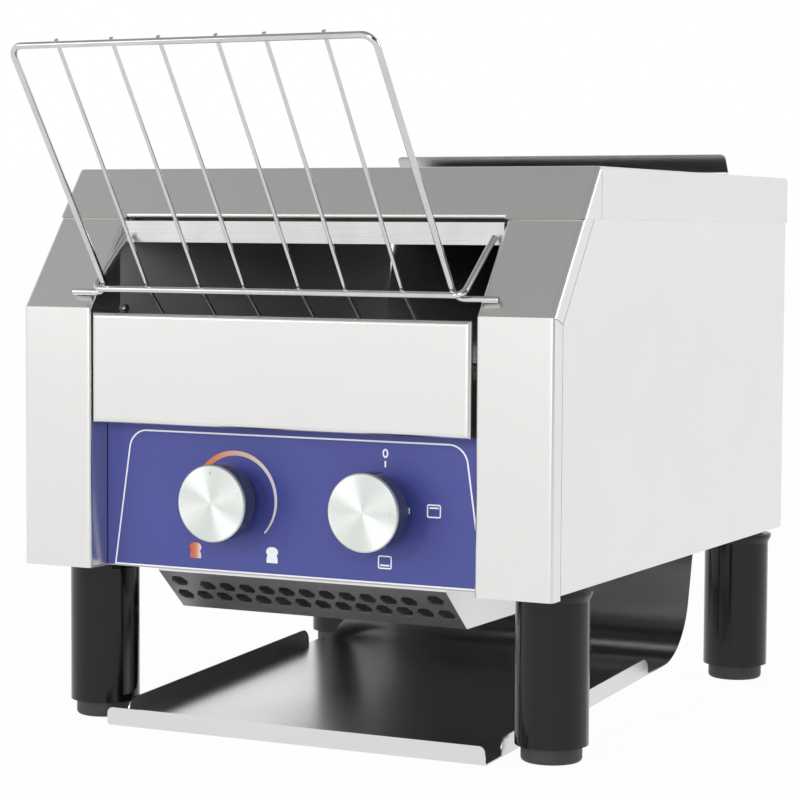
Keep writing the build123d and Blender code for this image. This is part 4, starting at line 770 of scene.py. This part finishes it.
@dataclass
class Domes:
    """Domed metal heads on the casing, in mirrored pairs. Sizes in mm.

    Attributes:
        name: the piece's name.
        spots: centre of one dome of each pair.
        half_sizes: how far a dome reaches from its centre along X, Y and Z.
        segments: facets round a dome.
    """

    name: str
    spots: tuple[tuple[float, float, float], ...]
    half_sizes: tuple[float, float, float]
    segments: int

    def build(self) -> None:
        """Builds the domes as one piece."""
        form = bmesh.new()
        for x, y, z in self.spots:
            for side in (-1, 1):
                bmesh.ops.create_uvsphere(form, u_segments=self.segments, v_segments=self.segments // 2, radius=MM,
                                          matrix=Matrix.Translation(spot(side * x, y, z))
                                          @ Matrix.Diagonal((*self.half_sizes, 1)))
        fit_piece(self.name, form, ZINC, Body.CASING, smooth=True)


RAIL_STUDS = Domes("rail_weld_studs", ((-127.9, 40.0, 312.8), (-124.9, 40.0, 312.2)), (0.8, 0.5, 0.8), 16)
WALL_SCREW_DOMES = Domes("wall_screw_domes", ((132.1, 39.5, 267.2), (132.1, 39.5, 160.0)), (1.3, 2.9, 2.9), 24)


@dataclass
class Studio:
    """The floor, the soft lights, the sky and the camera. Lengths in metres.

    Attributes:
        floor_half: half width of the floor.
        camera_spot: the camera's place.
        camera_angles: its yaw, pitch and roll in degrees.
        focal: focal length in widths of the picture.
        sensor: width of the film in mm.
        clip: nearest and farthest distance that it sees.
        sky_tones: the sky's colour at the horizon (0), overhead (1) and between.
        flag_toward: direction of the dark flag on the right.
        flag_edge: cosines of the angles where its soft edge starts and ends.
        flag_tone: its colour.
        floor_tone: the floor's colour under the lamps.
        floor_glow: share of the floor's own white in what cameras and mirrors see of it.
        aim_z: height of the point that the lamps look at.
        lamps: each lamp's name, place, side and watts.
    """

    floor_half: float = 12.0
    camera_spot: tuple[float, float, float] = (0.7617878, -1.5059371, 0.3183328)
    camera_angles: tuple[float, float, float] = (26.7844, 3.8079, 0.3459)
    focal: float = 2546.0652 / 800
    sensor: float = 36.0
    clip: tuple[float, float] = (0.05, 60.0)
    sky_tones: tuple[tuple[float, str], ...] = (
        (0.0, "#FFFFFF"), (0.38, "#FFFFFF"), (0.62, "#C8C8C8"), (0.84, "#ACACAC"), (1.0, "#9C9C9C"))
    flag_toward: tuple[float, float, float] = (0.964, -0.258, 0.06)
    flag_edge: tuple[float, float] = (0.76, 0.84)
    flag_tone: str = "#161616"
    floor_tone: str = "#F4F4F4"
    floor_glow: float = 0.97
    aim_z: float = 0.2
    lamps: tuple[tuple[str, tuple[float, float, float], float, float], ...] = (
        ("key_softbox", (-1.7, -2.0, 0.95), 1.0, 5.5),
        ("front_softbox", (-0.3, -2.6, 0.85), 0.3, 8.0),
        ("fill_softbox", (1.0, -2.2, 0.75), 0.7, 11.0),
        ("side_softbox", (2.2, 0.6, 0.9), 1.2, 9.0))

    def camera(self) -> None:
        """Sets the camera up."""
        lens = bpy.data.cameras.new("camera")
        lens.sensor_width = self.sensor
        lens.lens = self.focal * self.sensor
        lens.clip_start, lens.clip_end = self.clip
        eye = bpy.data.objects.new("camera", lens)
        yaw, pitch, roll = (math.radians(a) for a in self.camera_angles)
        level = Matrix.Rotation(yaw, 4, "Z") @ Matrix.Rotation(math.pi / 2 - pitch, 4, "X")
        aim = level @ Matrix.Rotation(roll, 4, "Z")
        eye.matrix_world = Matrix.Translation(self.camera_spot) @ aim
        bpy.context.scene.collection.objects.link(eye)
        bpy.context.scene.camera = eye
        LOG.info("camera: lens %.2f mm", lens.lens)

    def sky(self) -> None:
        """White at the horizon, greyer overhead, with one dark flag on the right that bright edges mirror."""
        world = bpy.data.worlds.new("studio_room")
        world.use_nodes = True
        tree = world.node_tree
        place = add_node(tree, "ShaderNodeTexCoord").outputs["Generated"]
        height = add_node(tree, "ShaderNodeSeparateXYZ", {0: place}).outputs[2]
        ramp = colour_ramp(tree, height, self.sky_tones)
        shade = stretch(tree, alignment(tree, place, self.flag_toward), self.flag_edge)
        room = tree.nodes["Background"]
        tree.links.new(blend(tree, shade, ramp, linear(self.flag_tone)), room.inputs["Color"])
        room.inputs["Strength"].default_value = 1.0
        bpy.context.scene.world = world

    def floor(self) -> None:
        """A plain white floor that keeps the object's shadow."""
        form = bmesh.new()
        bmesh.ops.create_grid(form, x_segments=1, y_segments=1, size=self.floor_half)
        mesh = bpy.data.meshes.new("floor")
        form.to_mesh(mesh)
        form.free()
        # Matt white studio paper: the lit paper keeps the shadow, and its own glow keeps it as white as the room.
        paper = bpy.data.materials.new("white_paper")
        paper.use_nodes = True
        tree = paper.node_tree
        tree.nodes.remove(tree.nodes["Principled BSDF"])
        lit = add_node(tree, "ShaderNodeBsdfDiffuse", {"Color": linear(self.floor_tone)})
        glow = add_node(tree, "ShaderNodeEmission", {"Color": linear("#FFFFFF"), "Strength": 1.0})
        ray = add_node(tree, "ShaderNodeLightPath").outputs
        seen = maths(tree, "ADD", ray["Is Camera Ray"], ray["Is Glossy Ray"])
        seen = maths(tree, "ADD", seen, ray["Is Transmission Ray"])
        share = maths(tree, "MULTIPLY", seen, self.floor_glow, use_clamp=True)
        mix = add_node(tree, "ShaderNodeMixShader", {0: share, 1: lit.outputs[0], 2: glow.outputs[0]})
        tree.links.new(mix.outputs[0], tree.nodes["Material Output"].inputs["Surface"])
        mesh.materials.append(paper)
        ground = bpy.data.objects.new("floor", mesh)
        bpy.context.scene.collection.objects.link(ground)

    def softbox(self, name: str, place: tuple[float, float, float], size: float, power: float) -> None:
        """A square soft light that looks at the toaster.

        Args:
            name: its name.
            place: where it hangs.
            size: length of its side.
            power: its power in watts.
        """
        lamp = bpy.data.lights.new(name, "AREA")
        lamp.size, lamp.energy = size, power
        holder = bpy.data.objects.new(name, lamp)
        away = Vector(place) - Vector((0, 0, self.aim_z))
        holder.matrix_world = Matrix.Translation(place) @ away.to_track_quat("Z", "Y").to_matrix().to_4x4()
        bpy.context.scene.collection.objects.link(holder)

    def build(self) -> None:
        """Sets the whole studio up."""
        bpy.context.scene.view_settings.view_transform = "Standard"
        self.camera()
        self.sky()
        self.floor()
        for lamp in self.lamps:
            self.softbox(*lamp)


def main() -> None:
    """Builds the studio, the finishes and the pieces, in that order."""
    logging.basicConfig(level=logging.INFO, format="%(name)s: %(message)s")
    Studio().build()
    dress_nodes()
    for part in (PanelPrint(), KnobMarks(), RackWelds(), RAIL_STUDS, WALL_SCREW_DOMES):
        part.build()


if __name__ == "__main__":
    main()
